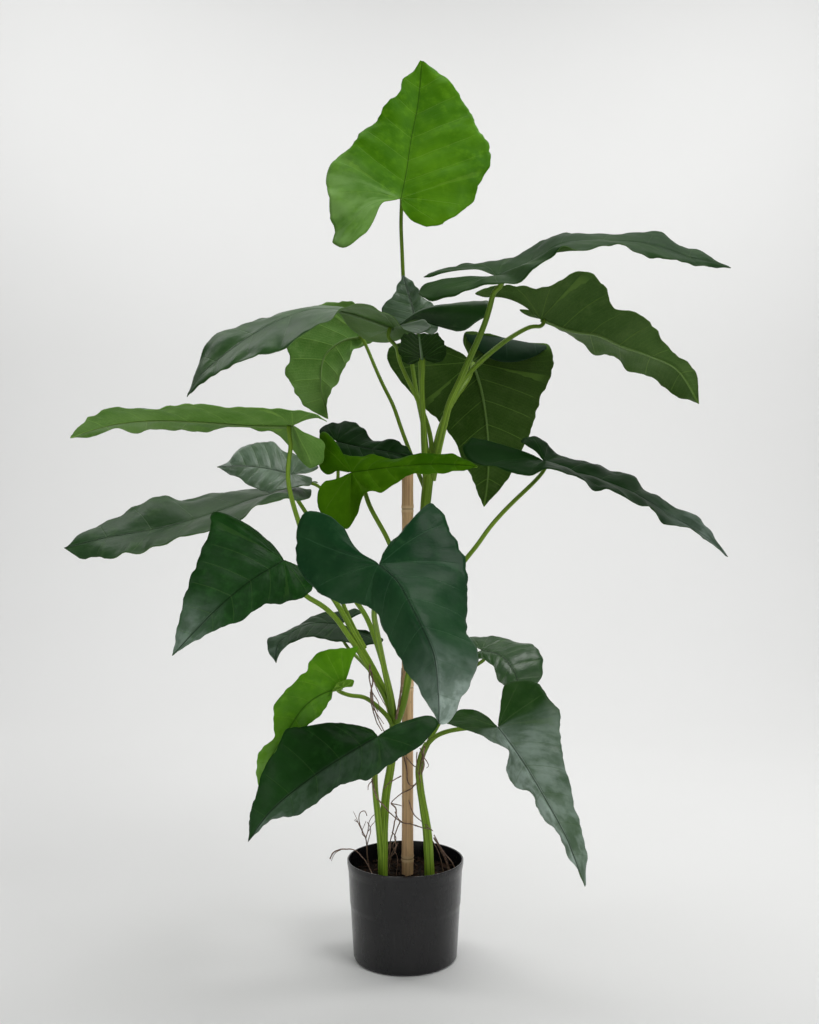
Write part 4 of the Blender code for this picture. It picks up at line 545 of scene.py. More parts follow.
# Each leaf's own look: strength of its colours, specular level, and for the upper face the roughness,
# how much painted sheen lies on the lobes, on the middle and on the tip, and the share of it that
# half a and half b get. The painted sheen is a pale colour that stands in for the lamps' reflection.
# The strength also paints shade and light: it darkens leaf_06 and leaf_09, which lie in shade, and
# brightens leaf_05, which light shines through.
LEAF_LOOK = {
    "leaf_01": (1.02, 0.05, 0.44, 0.34, 0.00, 0.00, 0.0, 1.0),
    "leaf_02": (0.68, 0.03, 0.42, 0.00, 0.01, 0.03, 1.0, 1.0),
    "leaf_03": (0.80, 0.20, 0.42, 0.00, 0.00, 0.05, 1.0, 1.0),
    "leaf_04": (1.20, 0.38, 0.38, 0.00, 0.00, 0.00, 1.0, 1.0),
    "leaf_05": (1.65, 0.30, 0.42, 0.00, 0.00, 0.00, 1.0, 1.0),
    "leaf_06": (0.50, 0.03, 0.45, 0.00, 0.00, 0.00, 1.0, 1.0),
    "leaf_07": (1.10, 0.55, 0.38, 0.08, 0.12, 0.15, 1.0, 1.0),
    "leaf_08": (1.80, 0.30, 0.42, 0.00, 0.00, 0.00, 1.0, 1.0),
    "leaf_09": (0.60, 0.08, 0.45, 0.00, 0.00, 0.00, 1.0, 1.0),
    "leaf_10": (0.60, 0.01, 0.46, 0.00, 0.00, 0.00, 1.0, 1.0),
    "leaf_11": (1.25, 0.80, 0.36, 0.18, 0.22, 0.28, 1.0, 1.0),
    "leaf_12": (1.20, 0.25, 0.40, 0.00, 0.00, 0.04, 1.0, 1.0),
    "leaf_13": (1.30, 0.12, 0.34, 0.00, 0.02, 0.30, 1.0, 0.8),
    "leaf_14": (1.20, 0.11, 0.32, 0.00, 0.02, 0.66, 0.4, 1.1),
    "leaf_15": (0.55, 0.04, 0.42, 0.00, 0.00, 0.24, 1.0, 1.0),
    "leaf_16": (0.60, 0.06, 0.42, 0.00, 0.00, 0.00, 1.0, 1.0),
    "leaf_17": (0.80, 0.12, 0.40, 0.00, 0.00, 0.16, 1.0, 1.0),
    "leaf_18": (1.25, 0.06, 0.42, 0.02, 0.08, 0.44, 0.7, 1.2),
    "leaf_19": (0.95, 0.07, 0.34, 0.02, 0.05, 0.20, 0.1, 1.2),
    "leaf_20": (1.30, 0.70, 0.36, 0.00, 0.02, 0.05, 1.0, 1.0),
    "leaf_21": (0.90, 0.16, 0.32, 0.00, 0.44, 0.50, 1.2, 0.7),
}
MARGIN_LOOK = (0.60, 0.12, 0.40, 0.0, 0.0, 0.0, 1.0, 1.0)
STALK_LIGHT = (0.260, 0.420, 0.035)
STALK_PALE = (0.560, 0.660, 0.180)
STALK_SHADE = (0.070, 0.150, 0.006)
STALK_BROWN = (0.120, 0.060, 0.022)
POT_BLACK = (0.004, 0.004, 0.005)
POT_DUST = (0.010, 0.009, 0.010)
POT_SCUFF = (0.060, 0.058, 0.056)
SOIL_SHADE = (0.003, 0.002, 0.0015)
SOIL_LIGHT = (0.014, 0.008, 0.005)
CHIP_SHADE = (0.006, 0.004, 0.003)
CHIP_LIGHT = (0.036, 0.018, 0.010)
CHIP_GRAIN = (0.020, 0.012, 0.008)
BAMBOO_LIGHT = (0.780, 0.520, 0.270)
BAMBOO_SHADE = (0.500, 0.300, 0.150)
BAMBOO_BLOTCH = (0.300, 0.150, 0.070)
BAMBOO_FLECK = (0.120, 0.070, 0.040)
NODE_RING = (0.800, 0.600, 0.340)
NODE_LINE = (0.240, 0.130, 0.060)
ROOT_SHADE = (0.110, 0.062, 0.042)
ROOT_LIGHT = (0.330, 0.215, 0.150)
DRY_SHADE = (0.130, 0.075, 0.045)
DRY_LIGHT = (0.330, 0.235, 0.150)
WALL_SHADE = (0.800, 0.800, 0.790)
WALL_PALE = (0.830, 0.830, 0.822)


# Curves, as in the part
def place(point):
    """Metres, for a point given as (across px, down px, depth mm) in the front view."""
    across, down, depth = point[:3]
    size = (VIEW_DISTANCE + depth * MM) / VIEW_FOCAL
    height = SOIL_HEIGHT if down == "soil" else VIEW_Z - (down - VIEW_CENTRE[1]) * size
    return np.array([VIEW_X + (across - VIEW_CENTRE[0]) * size, depth * MM, height])


def places(points):
    return np.array([place(point) for point in points])


def unit(v):
    v = np.asarray(v, float)
    return v / np.linalg.norm(v, axis=-1, keepdims=True)


def chord_knots(points):
    steps = np.linalg.norm(np.diff(points, axis=0), axis=1)
    return np.concatenate([[0.0], np.cumsum(steps)])


def smooth_value(knots, values, t):
    """Value of a smooth curve through the values at the knots, at the places t."""
    values = np.asarray(values, float)
    t = np.clip(np.asarray(t, float), knots[0], knots[-1])
    spans = np.diff(knots)
    slopes = np.diff(values, axis=0) / spans[:, None]
    tangent = np.empty_like(values)
    tangent[0] = slopes[0]
    tangent[-1] = slopes[-1]
    for i in range(1, len(knots) - 1):
        total = spans[i - 1] + spans[i]
        tangent[i] = (slopes[i - 1] * spans[i] + slopes[i] * spans[i - 1]) / total
    seg = np.clip(np.searchsorted(knots, t, side="right") - 1, 0, len(knots) - 2)
    h = spans[seg][:, None]
    u = ((t - knots[seg]) / spans[seg])[:, None]
    start = (2 * u**3 - 3 * u**2 + 1) * values[seg] + (u**3 - 2 * u**2 + u) * h * tangent[seg]
    end = (3 * u**2 - 2 * u**3) * values[seg + 1] + (u**3 - u**2) * h * tangent[seg + 1]
    return start + end


def curve_at(points, shares):
    knots = chord_knots(points)
    return smooth_value(knots, points, np.asarray(shares, float) * knots[-1])


def smooth_path(points, spacing):
    """Evenly spaced points on a smooth curve through the given ones."""
    points = np.asarray(points, float)
    knots = chord_knots(points)
    count = max(3, int(round(knots[-1] / spacing)) + 1)
    return smooth_value(knots, points, np.linspace(0.0, knots[-1], count))


def smoothed(values, rounds):
    """Values evened out along the first axis, with both ends kept."""
    values = np.array(values, float)
    for _ in range(rounds):
        values[1:-1] = 0.25 * values[:-2] + 0.5 * values[1:-1] + 0.25 * values[2:]
    return values


def wobble(point, scale, seed):
    """Smooth noise between -1 and 1 at a place."""
    return noise.noise(Vector(point) * scale + Vector((seed * 7.3, seed * 3.1, seed * 5.7)))


def wobbles(points, scale, seed):
    """The same noise at each point of a list or a grid."""
    flat = [wobble(p, scale, seed) for p in np.reshape(points, (-1, 3))]
    return np.reshape(flat, np.shape(points)[:-1])


def ramp(values, slope):
    """Rises from 0 with the given slope and stays at 1."""
    return np.clip(values * slope, 0, 1)


# Meshes
def mesh_object(name, verts, polygons, values=None):
    """A new object. values: lists of numbers that its points hold, by name."""
    mesh = bpy.data.meshes.new(name)
    mesh.from_pydata([tuple(v) for v in verts], [], polygons)
    for key, parts in (values or {}).items():
        layer = mesh.attributes.new(key, "FLOAT", "POINT")
        layer.data.foreach_set("value", np.hstack([np.asarray(p, float).ravel() for p in parts]))
    mesh.update()
    mesh.shade_smooth()
    item = bpy.data.objects.new(name, mesh)
    bpy.context.scene.collection.objects.link(item)
    return item


def grid_faces(index):
    """Faces between neighbouring rows of a grid of corner numbers. Corners that coincide count once."""
    faces = []
    for near, far in zip(index.tolist(), index[1:].tolist()):
        for corners in zip(near, near[1:], far[1:], far):
            faces.append(list(dict.fromkeys(corners)))
    return faces


def thicken(item, under_slot):
    """Gives a sheet the blade's thickness, with its own slot for the underside and the rim."""
    solid = item.modifiers.new("thickness", "SOLIDIFY")
    solid.thickness = BLADE_THICKNESS
    solid.offset = 0.0
    solid.material_offset = under_slot
    solid.material_offset_rim = under_slot


# Leaf blades
def rib_at(leaf, shares):
    return curve_at(places(leaf["rib"]), shares)


def edge_points(leaf, side):
    """One edge of the blade, from the seat round its lobe to the tip."""
    rib = places(leaf["rib"])
    return np.vstack([rib[:1], places(leaf[side]), rib[-1:]])


def edge_shares(leaf, side):
    """Shares of an edge's length where the rows end. The first row ends where the lobe reaches furthest
    back, and the lobe's rows all start at the seat."""
    edge = edge_points(leaf, side)
    knots = chord_knots(edge)
    seat, ahead = rib_at(leaf, [0.0, LOBE_AIM])
    shares = np.linspace(knots[1] / knots[-1], 1.0, EDGE_SAMPLES)
    facing = unit(curve_at(edge, shares) - seat) @ unit(ahead - seat)
    behind = np.flatnonzero(facing < math.cos(LOBE_ANGLE))
    first, turn = shares[np.argmin(facing)], shares[behind[-1] + 1]
    lobe = np.linspace(first, turn, LOBE_ROWS + 1)[:-1]
    front = turn + (1 - turn) * np.arange(FRONT_ROWS) / FRONT_ROWS
    return np.concatenate([lobe, front])


def blade_frames(leaf):
    """Start of each row on the rib, and the way the upper face looks there."""
    shares = np.concatenate([np.zeros(LOBE_ROWS), np.arange(FRONT_ROWS) / FRONT_ROWS])
    starts = rib_at(leaf, shares)
    along = unit(rib_at(leaf, shares + RIB_STEP) - starts)
    ends = [curve_at(edge_points(leaf, side), edge_shares(leaf, side)) for side in ("a", "b")]
    faces = unit(np.cross(ends[0] - ends[1], along))
    faces[LOBE_ROWS:] = smoothed(faces[LOBE_ROWS:], SMOOTH_ROUNDS)
    faces[:LOBE_ROWS] = faces[LOBE_ROWS]
    return starts, unit(faces)


def vein_phase(across):
    """Vein coordinate of a half blade's points: whole numbers lie on the side veins."""
    lobe = (np.arange(LOBE_ROWS) / LOBE_ROWS - 1)[:, None]
    front = (np.arange(FRONT_ROWS) / FRONT_ROWS)[:, None]
    bend = VEIN_CURVE * across**2
    behind = lobe * (1 + bend[:LOBE_ROWS]) * LOBE_VEINS
    ahead = np.clip(front - bend[LOBE_ROWS:] * (1 - front), 0, 1)**VEIN_SPREAD * FRONT_VEINS
    return np.vstack([behind, ahead])


def vein_gap(grid, phase):
    """Metres between neighbouring side veins, at each point."""
    steps = np.linalg.norm(np.diff(grid, axis=0), axis=2)
    turns = np.abs(np.diff(phase, axis=0)) + 1e-6
    gap = np.vstack([steps / turns, (steps / turns)[-1:]])
    return smoothed(np.clip(gap, 0.0, VEIN_GAP_LIMIT), SMOOTH_ROUNDS)


def half_blade(leaf, side, seed):
    """Grid of points of one half blade, with vein phase, share across, vein gap and distance off."""
    index = "ab".index(side)
    starts, faces = blade_frames(leaf)
    shares = edge_shares(leaf, side)
    edge = edge_points(leaf, side)
    ends = curve_at(edge, shares)
    out = np.linspace(0.0, 1.0, COLUMNS)

    # Rows start square to the rib. Those of the lobe turn gradually towards their ends.
    run = ends - starts
    flat = run - faces * np.sum(run * faces, axis=1, keepdims=True)
    lean = np.clip(1 - np.arange(len(run)) / LOBE_ROWS, 0, 1)[:, None]
    reach = np.linalg.norm(run, axis=1, keepdims=True)
    way = unit(flat * (1 - lean) + run * lean)
    strip = starts + way * np.minimum(RIB_STRIP, STRIP_SHARE * reach)
    width = np.linalg.norm(ends - strip, axis=1, keepdims=True)

    # Broad shape: arched, waved, and with the gap between the lobes along its own curve
    arch = BLADE_ARCH * width * 4 * out * (1 - out)
    wave = leaf["ripple"] * MM * np.sin(2 * math.pi * leaf["waves"] * shares + index)[:, None] * out**2
    grid = strip[:, None] + (ends - strip)[:, None] * out[None, :, None]
    grid = grid + faces[:, None] * (arch + wave)[..., None]
    sinus = curve_at(edge, shares[0] * out) - (starts[0] + run[0] * out[:, None])
    grid = grid + lean[..., None] * sinus[None] * (reach / reach[0])[..., None]
    nick = SCALLOP * wobbles(ends, SCALLOP_SCALE, seed + 2) + NICK * wobbles(ends, NICK_SCALE, seed + 3)
    nick = nick * ramp(1 - shares, 12)
    grid = grid + way[:, None] * (nick[:, None] * out**4)[..., None]
    grid = np.concatenate([starts[:, None], grid], axis=1)
    grid = smoothed(grid.transpose(1, 0, 2), SMOOTH_ROUNDS).transpose(1, 0, 2)

    # Fine shape: quilted between the veins, soft all over and crimped at the edge
    off = np.linalg.norm(grid - grid[:, :1], axis=2)
    across = off / off[:, -1:]
    phase = vein_phase(across)
    gap = vein_gap(grid, phase)
    quilt = np.abs(np.sin(math.pi * phase))**QUILT_POWER - QUILT_MIDDLE
    quilt = np.minimum(QUILT_SHARE * gap, QUILT_LIMIT) * quilt
    quilt = quilt * ramp(across, 5) * ramp(1 - across, 6)
    quilt[:LOBE_ROWS] *= LOBE_QUILT
    soft = UNDULATION * wobbles(grid, UNDULATION_SCALE, seed)
    crimp = EDGE_CRIMP * wobbles(grid, EDGE_CRIMP_SCALE, seed + 1)
    lift = quilt + soft * ramp(across, 3) + crimp * across**4
    return grid + faces[:, None] * lift[..., None], (phase, across, gap, off)


def rib_tube(leaf, faces):
    """Midrib under the blade: rings of points round the rib, thick at the seat."""
    shares = np.linspace(0.0, RIB_REACH, RIB_RINGS)
    centre = rib_at(leaf, shares)
    rows = np.linspace(0, 1, FRONT_ROWS)
    face = unit(np.array([np.interp(shares, rows, faces[LOBE_ROWS:, k]) for k in range(3)]).T)
    radius = leaf["stalk_radius"][0] * MM * RIB_SHARE * (1 - shares)**RIB_TAPER + RIB_TIP_RADIUS
    sunk = radius + GROOVE_DEPTH * (1 - shares)
    return tube_rings(centre - face * sunk[:, None], radius, TUBE_SIDES)


def make_leaf(name, leaf, seed):
    """Blade and midrib in one mesh. Slots: upper face, underside, midrib."""
    starts, faces = blade_frames(leaf)
    groove = GROOVE_DEPTH * (1 - np.linspace(0, 1, FRONT_ROWS))
    verts = [starts[LOBE_ROWS:] - faces[LOBE_ROWS:] * groove[:, None], rib_at(leaf, [1.0])]
    count = FRONT_ROWS + 1
    rib_phase = vein_phase(np.zeros((LOBE_ROWS + FRONT_ROWS, 1)))[LOBE_ROWS:, 0]
    values = {"phase": [rib_phase, [FRONT_VEINS]], "across": [np.zeros(FRONT_ROWS), [1.0]],
              "gap": [np.full(FRONT_ROWS, 0.02), [0.01]], "off": [np.zeros(FRONT_ROWS), [0.0]],
              "half": [np.full(FRONT_ROWS + 1, 0.5)]}
    polygons = []
    for number, side in enumerate("ab"):
        grid, held = half_blade(leaf, side, seed)
        rows, columns = grid.shape[0], grid.shape[1] - 1
        index = np.empty((rows + 1, columns + 1), int)
        index[:LOBE_ROWS + 1, 0] = 0
        index[LOBE_ROWS:rows, 0] = np.arange(FRONT_ROWS)
        index[:rows, 1:] = count + np.arange(rows * columns).reshape(rows, columns)
        index[rows] = FRONT_ROWS
        count += rows * columns
        verts.append(grid[:, 1:].reshape(-1, 3))
        for key, part in zip(("phase", "across", "gap", "off"), held):
            values[key].append(part[:, 1:])
        values["half"].append(np.full(rows * columns, number))
        polygons += [face[::-1] if side == "b" else face for face in grid_faces(index)]
    blade = mesh_object(name, np.vstack(verts), polygons, values)
    thicken(blade, 1)
    return join_tube(blade, *rib_tube(leaf, faces))


def join_tube(blade, tube_verts, tube_faces):
    """The blade with its thickness applied and the midrib's tube added, in its third slot."""
    for _ in range(3):
        blade.data.materials.append(None)
    graph = bpy.context.evaluated_depsgraph_get()
    whole = bpy.data.meshes.new_from_object(blade.evaluated_get(graph))
    tube = bpy.data.meshes.new("midrib")
    tube.from_pydata([tuple(v) for v in tube_verts], [], tube_faces)
    tube.shade_smooth()
    tube.polygons.foreach_set("material_index", [2] * len(tube.polygons))
    joined = bmesh.new()
    joined.from_mesh(whole)
    joined.from_mesh(tube)
    joined.to_mesh(whole)
    joined.free()
    blade.modifiers.clear()
    blade.data = whole
    return blade


def make_fold():
    """Blade margin folded towards the viewer, so that its dark upper face shows. Three veins cross it."""
    length = np.linspace(0, 1, FOLD_ROWS)
    depth = np.linspace(0, 1, FOLD_COLUMNS)
    line = curve_at(places(FOLD_LINE), length)
    edge = curve_at(places(FOLD_EDGE), length)
    middle = np.sin(math.pi * length)[:, None]
    grid = line[:, None] + (edge - line)[:, None] * depth[None, :, None]
    grid[..., 1] -= FOLD_BULGE * 4 * (depth * (1 - depth))[None] * middle
    grid[..., 1] += UNDULATION * wobbles(grid, UNDULATION_SCALE, FOLD_SEED) * depth[None] * middle
    count = FOLD_ROWS * FOLD_COLUMNS
    values = {"phase": [0.5 + 3 * np.repeat(length, FOLD_COLUMNS)],
              "across": [0.4 + 0.6 * np.tile(depth, FOLD_ROWS)],
              "gap": [np.full(count, 0.03)], "off": [np.full(count, 0.02)]}
    polygons = grid_faces(np.arange(count).reshape(FOLD_ROWS, FOLD_COLUMNS))
    fold = mesh_object("leaf_16_fold", grid.reshape(-1, 3), polygons, values)
    thicken(fold, 0)
    return fold


# Tubes
def tube_rings(points, radii, sides):
    """Vertices and faces of a closed round tube along the points."""
    points = np.asarray(points, float)
    along = unit(np.gradient(points, axis=0))
    side = np.cross(along[0], (0.0, 0.0, 1.0) if abs(along[0][2]) < 0.9 else (1.0, 0.0, 0.0))
    turns = np.linspace(0, 2 * math.pi, sides, endpoint=False)
    rings = []
    for point, axis, radius in zip(points, along, radii):
        side = unit(side - axis * np.dot(side, axis))
        up = np.cross(axis, side)
        rings.append(point + radius * (np.cos(turns)[:, None] * side + np.sin(turns)[:, None] * up))
    verts = np.vstack(rings + [points[:1], points[-1:]])
    index = np.arange(len(points) * sides).reshape(-1, sides)
    faces = grid_faces(np.hstack([index, index[:, :1]]))
    last = int(index[-1, 0])
    for k in range(sides):
        n = (k + 1) % sides
        faces.append([len(verts) - 2, n, k])
        faces.append([len(verts) - 1, last + k, last + n])
    return verts, faces


def tubes_object(name, runs, sides):
    """One mesh of several tubes. Each point knows its place along and round its tube."""
    verts, faces, along, round_x, round_y, count = [], [], [], [], [], 0
    turns = np.linspace(0, 2 * math.pi, sides, endpoint=False)
    for number, (points, radii) in enumerate(runs):
        tube_verts, tube_faces = tube_rings(points, radii, sides)
        far = chord_knots(points) + number * TUBE_SHIFT
        along += [np.repeat(far, sides), [far[0], far[-1]]]
        round_x += [np.tile(np.cos(turns), len(points)), [0.0, 0.0]]
        round_y += [np.tile(np.sin(turns), len(points)), [0.0, 0.0]]
        verts.append(tube_verts)
        faces += [[corner + count for corner in face] for face in tube_faces]
        count += len(tube_verts)
    return mesh_object(name, np.vstack(verts), faces,
                       {"along": along, "round_x": round_x, "round_y": round_y})


def stalk_run(leaf):
    """Points and radii of a leaf stalk, swollen a little where it meets its blade."""
    starts, faces = blade_frames(leaf)
    seat, ahead = starts[LOBE_ROWS], starts[LOBE_ROWS + SEAT_ROWS]
    chord = unit(ahead - seat)
    face = faces[LOBE_ROWS] + faces[LOBE_ROWS + SEAT_ROWS]
    normal = unit(face - chord * np.dot(face, chord))
    top = seat + chord * STALK_OFFSET - normal * (GROOVE_DEPTH + BLADE_THICKNESS * 0.3)
    corners = [top, top - normal * STALK_NECK, top - normal * STALK_BEND] + list(places(leaf["stalk"]))
    points = smoothed(smooth_path(corners, TUBE_STEP), SMOOTH_ROUNDS)
    far = chord_knots(points)
    high, low = leaf["stalk_radius"]
    radii = (high + (low - high) * far / far[-1]) * MM
    return points, radii * (1 + STALK_SWELL * np.exp(-(far / STALK_SWELL_LENGTH)**2))


def stem_runs(stem):
    """Points and radii of the tubes of one stem and of the stalks that grow from it."""
    runs = []
    for key, route in STEMS.items():
        if key.split("_")[0] == stem:
            corners = places(route)
            points = smooth_path(corners, TUBE_STEP)
            knots = chord_knots(corners)
            radii = np.interp(np.linspace(0, knots[-1], len(points)), knots, [p[3] * MM for p in route])
            runs.append((points, radii * (1 + STEM_LUMP * wobbles(points, STEM_LUMP_SCALE, 3))))
    return runs + [stalk_run(leaf) for leaf in LEAVES.values() if leaf["stem"] == stem]


def root_runs(runs):
    """Fine, slightly crooked tubes that thin out to their ends."""
    out = []
    for number, (radius, route) in enumerate(runs):
        points = smooth_path(places(route), ROOT_STEP)
        crook = np.stack([wobbles(points, ROOT_CROOK_SCALE, k + number) for k in range(3)], axis=1)
        crook[[0, -1]] = 0.0
        thin = ROOT_START - ROOT_THINNING * np.linspace(0, 1, len(points))
        radii = radius * MM * thin * (1 + ROOT_LUMP * wobbles(points, ROOT_LUMP_SCALE, 9))
        out.append((points + ROOT_CROOK * crook, radii))
    return out


# Pot, soil and stake
def turned(name, profile, segments):
    """Body turned about Z from (radius, height) pairs. A radius of 0 closes an end."""
    verts, faces, rings = [], [], []
    turns = [2 * math.pi * k / segments for k in range(segments)]
    for radius, height in profile:
        around = turns if radius else [0.0]
        rings.append(list(range(len(verts), len(verts) + len(around))))
        verts += [(radius * math.cos(a), radius * math.sin(a), height) for a in around]
    for lower, upper in zip(rings, rings[1:]):
        for k in range(segments):
            n = (k + 1) % segments
            corners = [lower[k % len(lower)], lower[n % len(lower)], upper[n % len(upper)],
                       upper[k % len(upper)]]
            faces.append(list(dict.fromkeys(corners)))
    return mesh_object(name, verts, faces)


def rounded(points, size):
    """The profile with each inner corner rounded by a short curve of the given size."""
    points = [np.array(p, float) for p in points]
    out = [points[0]]
    for before, corner, after in zip(points, points[1:], points[2:]):
        first = np.linalg.norm(before - corner)
        second = np.linalg.norm(after - corner)
        reach = min(size, CORNER_SHARE * first, CORNER_SHARE * second)
        enter = corner + (before - corner) / first * reach
        leave = corner + (after - corner) / second * reach
        for t in np.linspace(0, 1, ROUND_STEPS + 1):
            out.append((1 - t)**2 * enter + 2 * t * (1 - t) * corner + t * t * leave)
    out.append(points[-1])
    return [(float(r), float(z)) for r, z in out]


def pot_outer_radius(z):
    heights = [0.0, POT_STEP_HEIGHT, POT_HEIGHT - POT_RIM_DEPTH]
    return float(np.interp(z, heights, [POT_BASE_RADIUS, POT_STEP_RADIUS, POT_BODY_RADIUS]))


def make_pot():
    """Outside from the middle of the base up to the rim, then the inside down to below the soil."""
    rim_start = POT_HEIGHT - POT_RIM_DEPTH
    inside = POT_RIM_RADIUS - POT_WALL
    low = SOIL_HEIGHT - POT_LINING
    profile = [(0.0, POT_RECESS), (POT_RECESS_RADIUS, POT_RECESS), (POT_RECESS_RADIUS + POT_RECESS, 0.0),
               (POT_BASE_RADIUS - POT_BASE_ROUND, 0.0)]
    for k in range(1, BASE_STEPS + 1):
        turn = math.pi / 2 * k / BASE_STEPS
        profile.append((POT_BASE_RADIUS - POT_BASE_ROUND * (1 - math.sin(turn)),
                        POT_BASE_ROUND * (1 - math.cos(turn))))
    profile += [(POT_STEP_RADIUS - POT_STEP_DEPTH, POT_STEP_HEIGHT - 0.004),
                (POT_STEP_RADIUS, POT_STEP_HEIGHT + 0.002), (POT_BODY_RADIUS, rim_start - 0.0045),
                (POT_RIM_RADIUS, rim_start + 0.0055), (POT_RIM_RADIUS, POT_HEIGHT), (inside, POT_HEIGHT),
                (inside - 0.001, rim_start - 0.002), (pot_outer_radius(low) - POT_WALL, low), (0.0, low)]
    return turned("pot_fine", rounded(profile, POT_EDGE_ROUND), POT_SIDES)


def make_soil():
    """Uneven crumbly surface with a skirt that runs down inside the pot."""
    reach = pot_outer_radius(SOIL_HEIGHT) - POT_WALL - GAP
    profile = [(reach * k / SOIL_RINGS, SOIL_HEIGHT) for k in range(SOIL_RINGS + 1)]
    profile += [(reach - 0.0005, SOIL_HEIGHT - SOIL_SKIRT), (0.0, SOIL_HEIGHT - SOIL_SKIRT)]
    soil = turned("soil_fine", profile, SOIL_SIDES)
    for vertex in soil.data.vertices:
        if vertex.co.z > SOIL_HEIGHT - SOIL_SKIRT / 2:
            radius = math.hypot(vertex.co.x, vertex.co.y)
            lump = sum(high * wobble(vertex.co, scale, SOIL_SEED + k)
                       for k, (high, scale) in enumerate(SOIL_LUMPS))
            vertex.co.z += lump - SOIL_SLOPE * (radius / reach)**4
    shape = bmesh.new()
    shape.from_mesh(soil.data)
    bmesh.ops.recalc_face_normals(shape, faces=shape.faces)
    shape.to_mesh(soil.data)
    shape.free()
    return soil


def make_chips():
    """Crumbs and bark chips strewn on the soil, each a bent lump of its own size."""
    draw = random.Random(CHIP_SEED)
    reach = pot_outer_radius(SOIL_HEIGHT) - POT_WALL - CHIP_MARGIN
    ball = bmesh.new()
    bmesh.ops.create_icosphere(ball, subdivisions=2, radius=1.0)
    shape = np.array([v.co[:] for v in ball.verts])
    polygons = [[v.index for v in face.verts] for face in ball.faces]
    ball.free()
    verts, faces, tone = [], [], []
    for number in range(CHIP_COUNT):
        radius = reach * math.sqrt(draw.random())
        turn = draw.random() * 2 * math.pi
        size = draw.uniform(*CHIP_SIZES) * (2.0 if draw.random() < CHIP_BIG_SHARE else 1.0)
        scale = size * np.array([draw.uniform(*CHIP_LENGTHS), draw.uniform(*CHIP_WIDTHS), CHIP_FLATNESS])
        bumps = 1 + CHIP_LUMP * wobbles(shape, 1.6, number)
        heading = draw.random() * 2 * math.pi
        tilt = draw.uniform(-CHIP_TILT, CHIP_TILT)
        c, s, ct, st = math.cos(heading), math.sin(heading), math.cos(tilt), math.sin(tilt)
        turned_about = np.array([[c * ct, -s, c * st], [s * ct, c, s * st], [-st, 0, ct]])
        place_at = np.array([radius * math.cos(turn), radius * math.sin(turn), SOIL_HEIGHT + CHIP_LIFT])
        verts.append((shape * bumps[:, None] * scale) @ turned_about.T + place_at)
        faces += [[corner + number * len(shape) for corner in face] for face in polygons]
        tone.append(np.full(len(shape), draw.random()))
    return mesh_object("soil_chips", np.vstack(verts), faces, {"tone": tone})


def make_stake():
    """Bamboo with a double ring at each node, slightly out of round, and a hollowed top."""
    slim = STAKE_RADIUS - STAKE_NODE_BULGE
    profile = [(0.0, SOIL_HEIGHT - SOIL_SKIRT), (slim, SOIL_HEIGHT - SOIL_SKIRT)]
    for z in STAKE_NODES:
        profile += [(slim + out * MM, z + up * MM) for out, up in NODE_PROFILE]
    profile += [(slim + out * MM, STAKE_TOP + up * MM) for out, up in STAKE_END_PROFILE]
    profile.append((0.0, STAKE_TOP - STAKE_HOLLOW))
    fine = []
    for (r0, z0), (r1, z1) in zip(profile, profile[1:]):
        steps = max(1, int(abs(z1 - z0) / STAKE_STEP))
        fine += [(r0 + (r1 - r0) * k / steps, z0 + (z1 - z0) * k / steps) for k in range(steps)]
    stake = turned("bamboo_fine", fine + [profile[-1]], STAKE_SIDES)
    for vertex in stake.data.vertices:
        swell = 1 + STAKE_LUMP * wobble((vertex.co.x * 40, vertex.co.y * 40, vertex.co.z * 9), 1.0, 2)
        vertex.co.x = vertex.co.x * swell + STAKE_X
        vertex.co.y *= swell
    return stake


# Finishes
class Term:
    """A value or colour that a node gives. Sums, differences and products of terms are nodes too."""

    def __init__(self, look, socket):
        self.look = look
        self.socket = socket

    def __add__(self, other):
        return self.look.math("ADD", self, other)

    def __sub__(self, other):
        return self.look.math("SUBTRACT", self, other)

    def __mul__(self, other):
        return self.look.math("MULTIPLY", self, other)


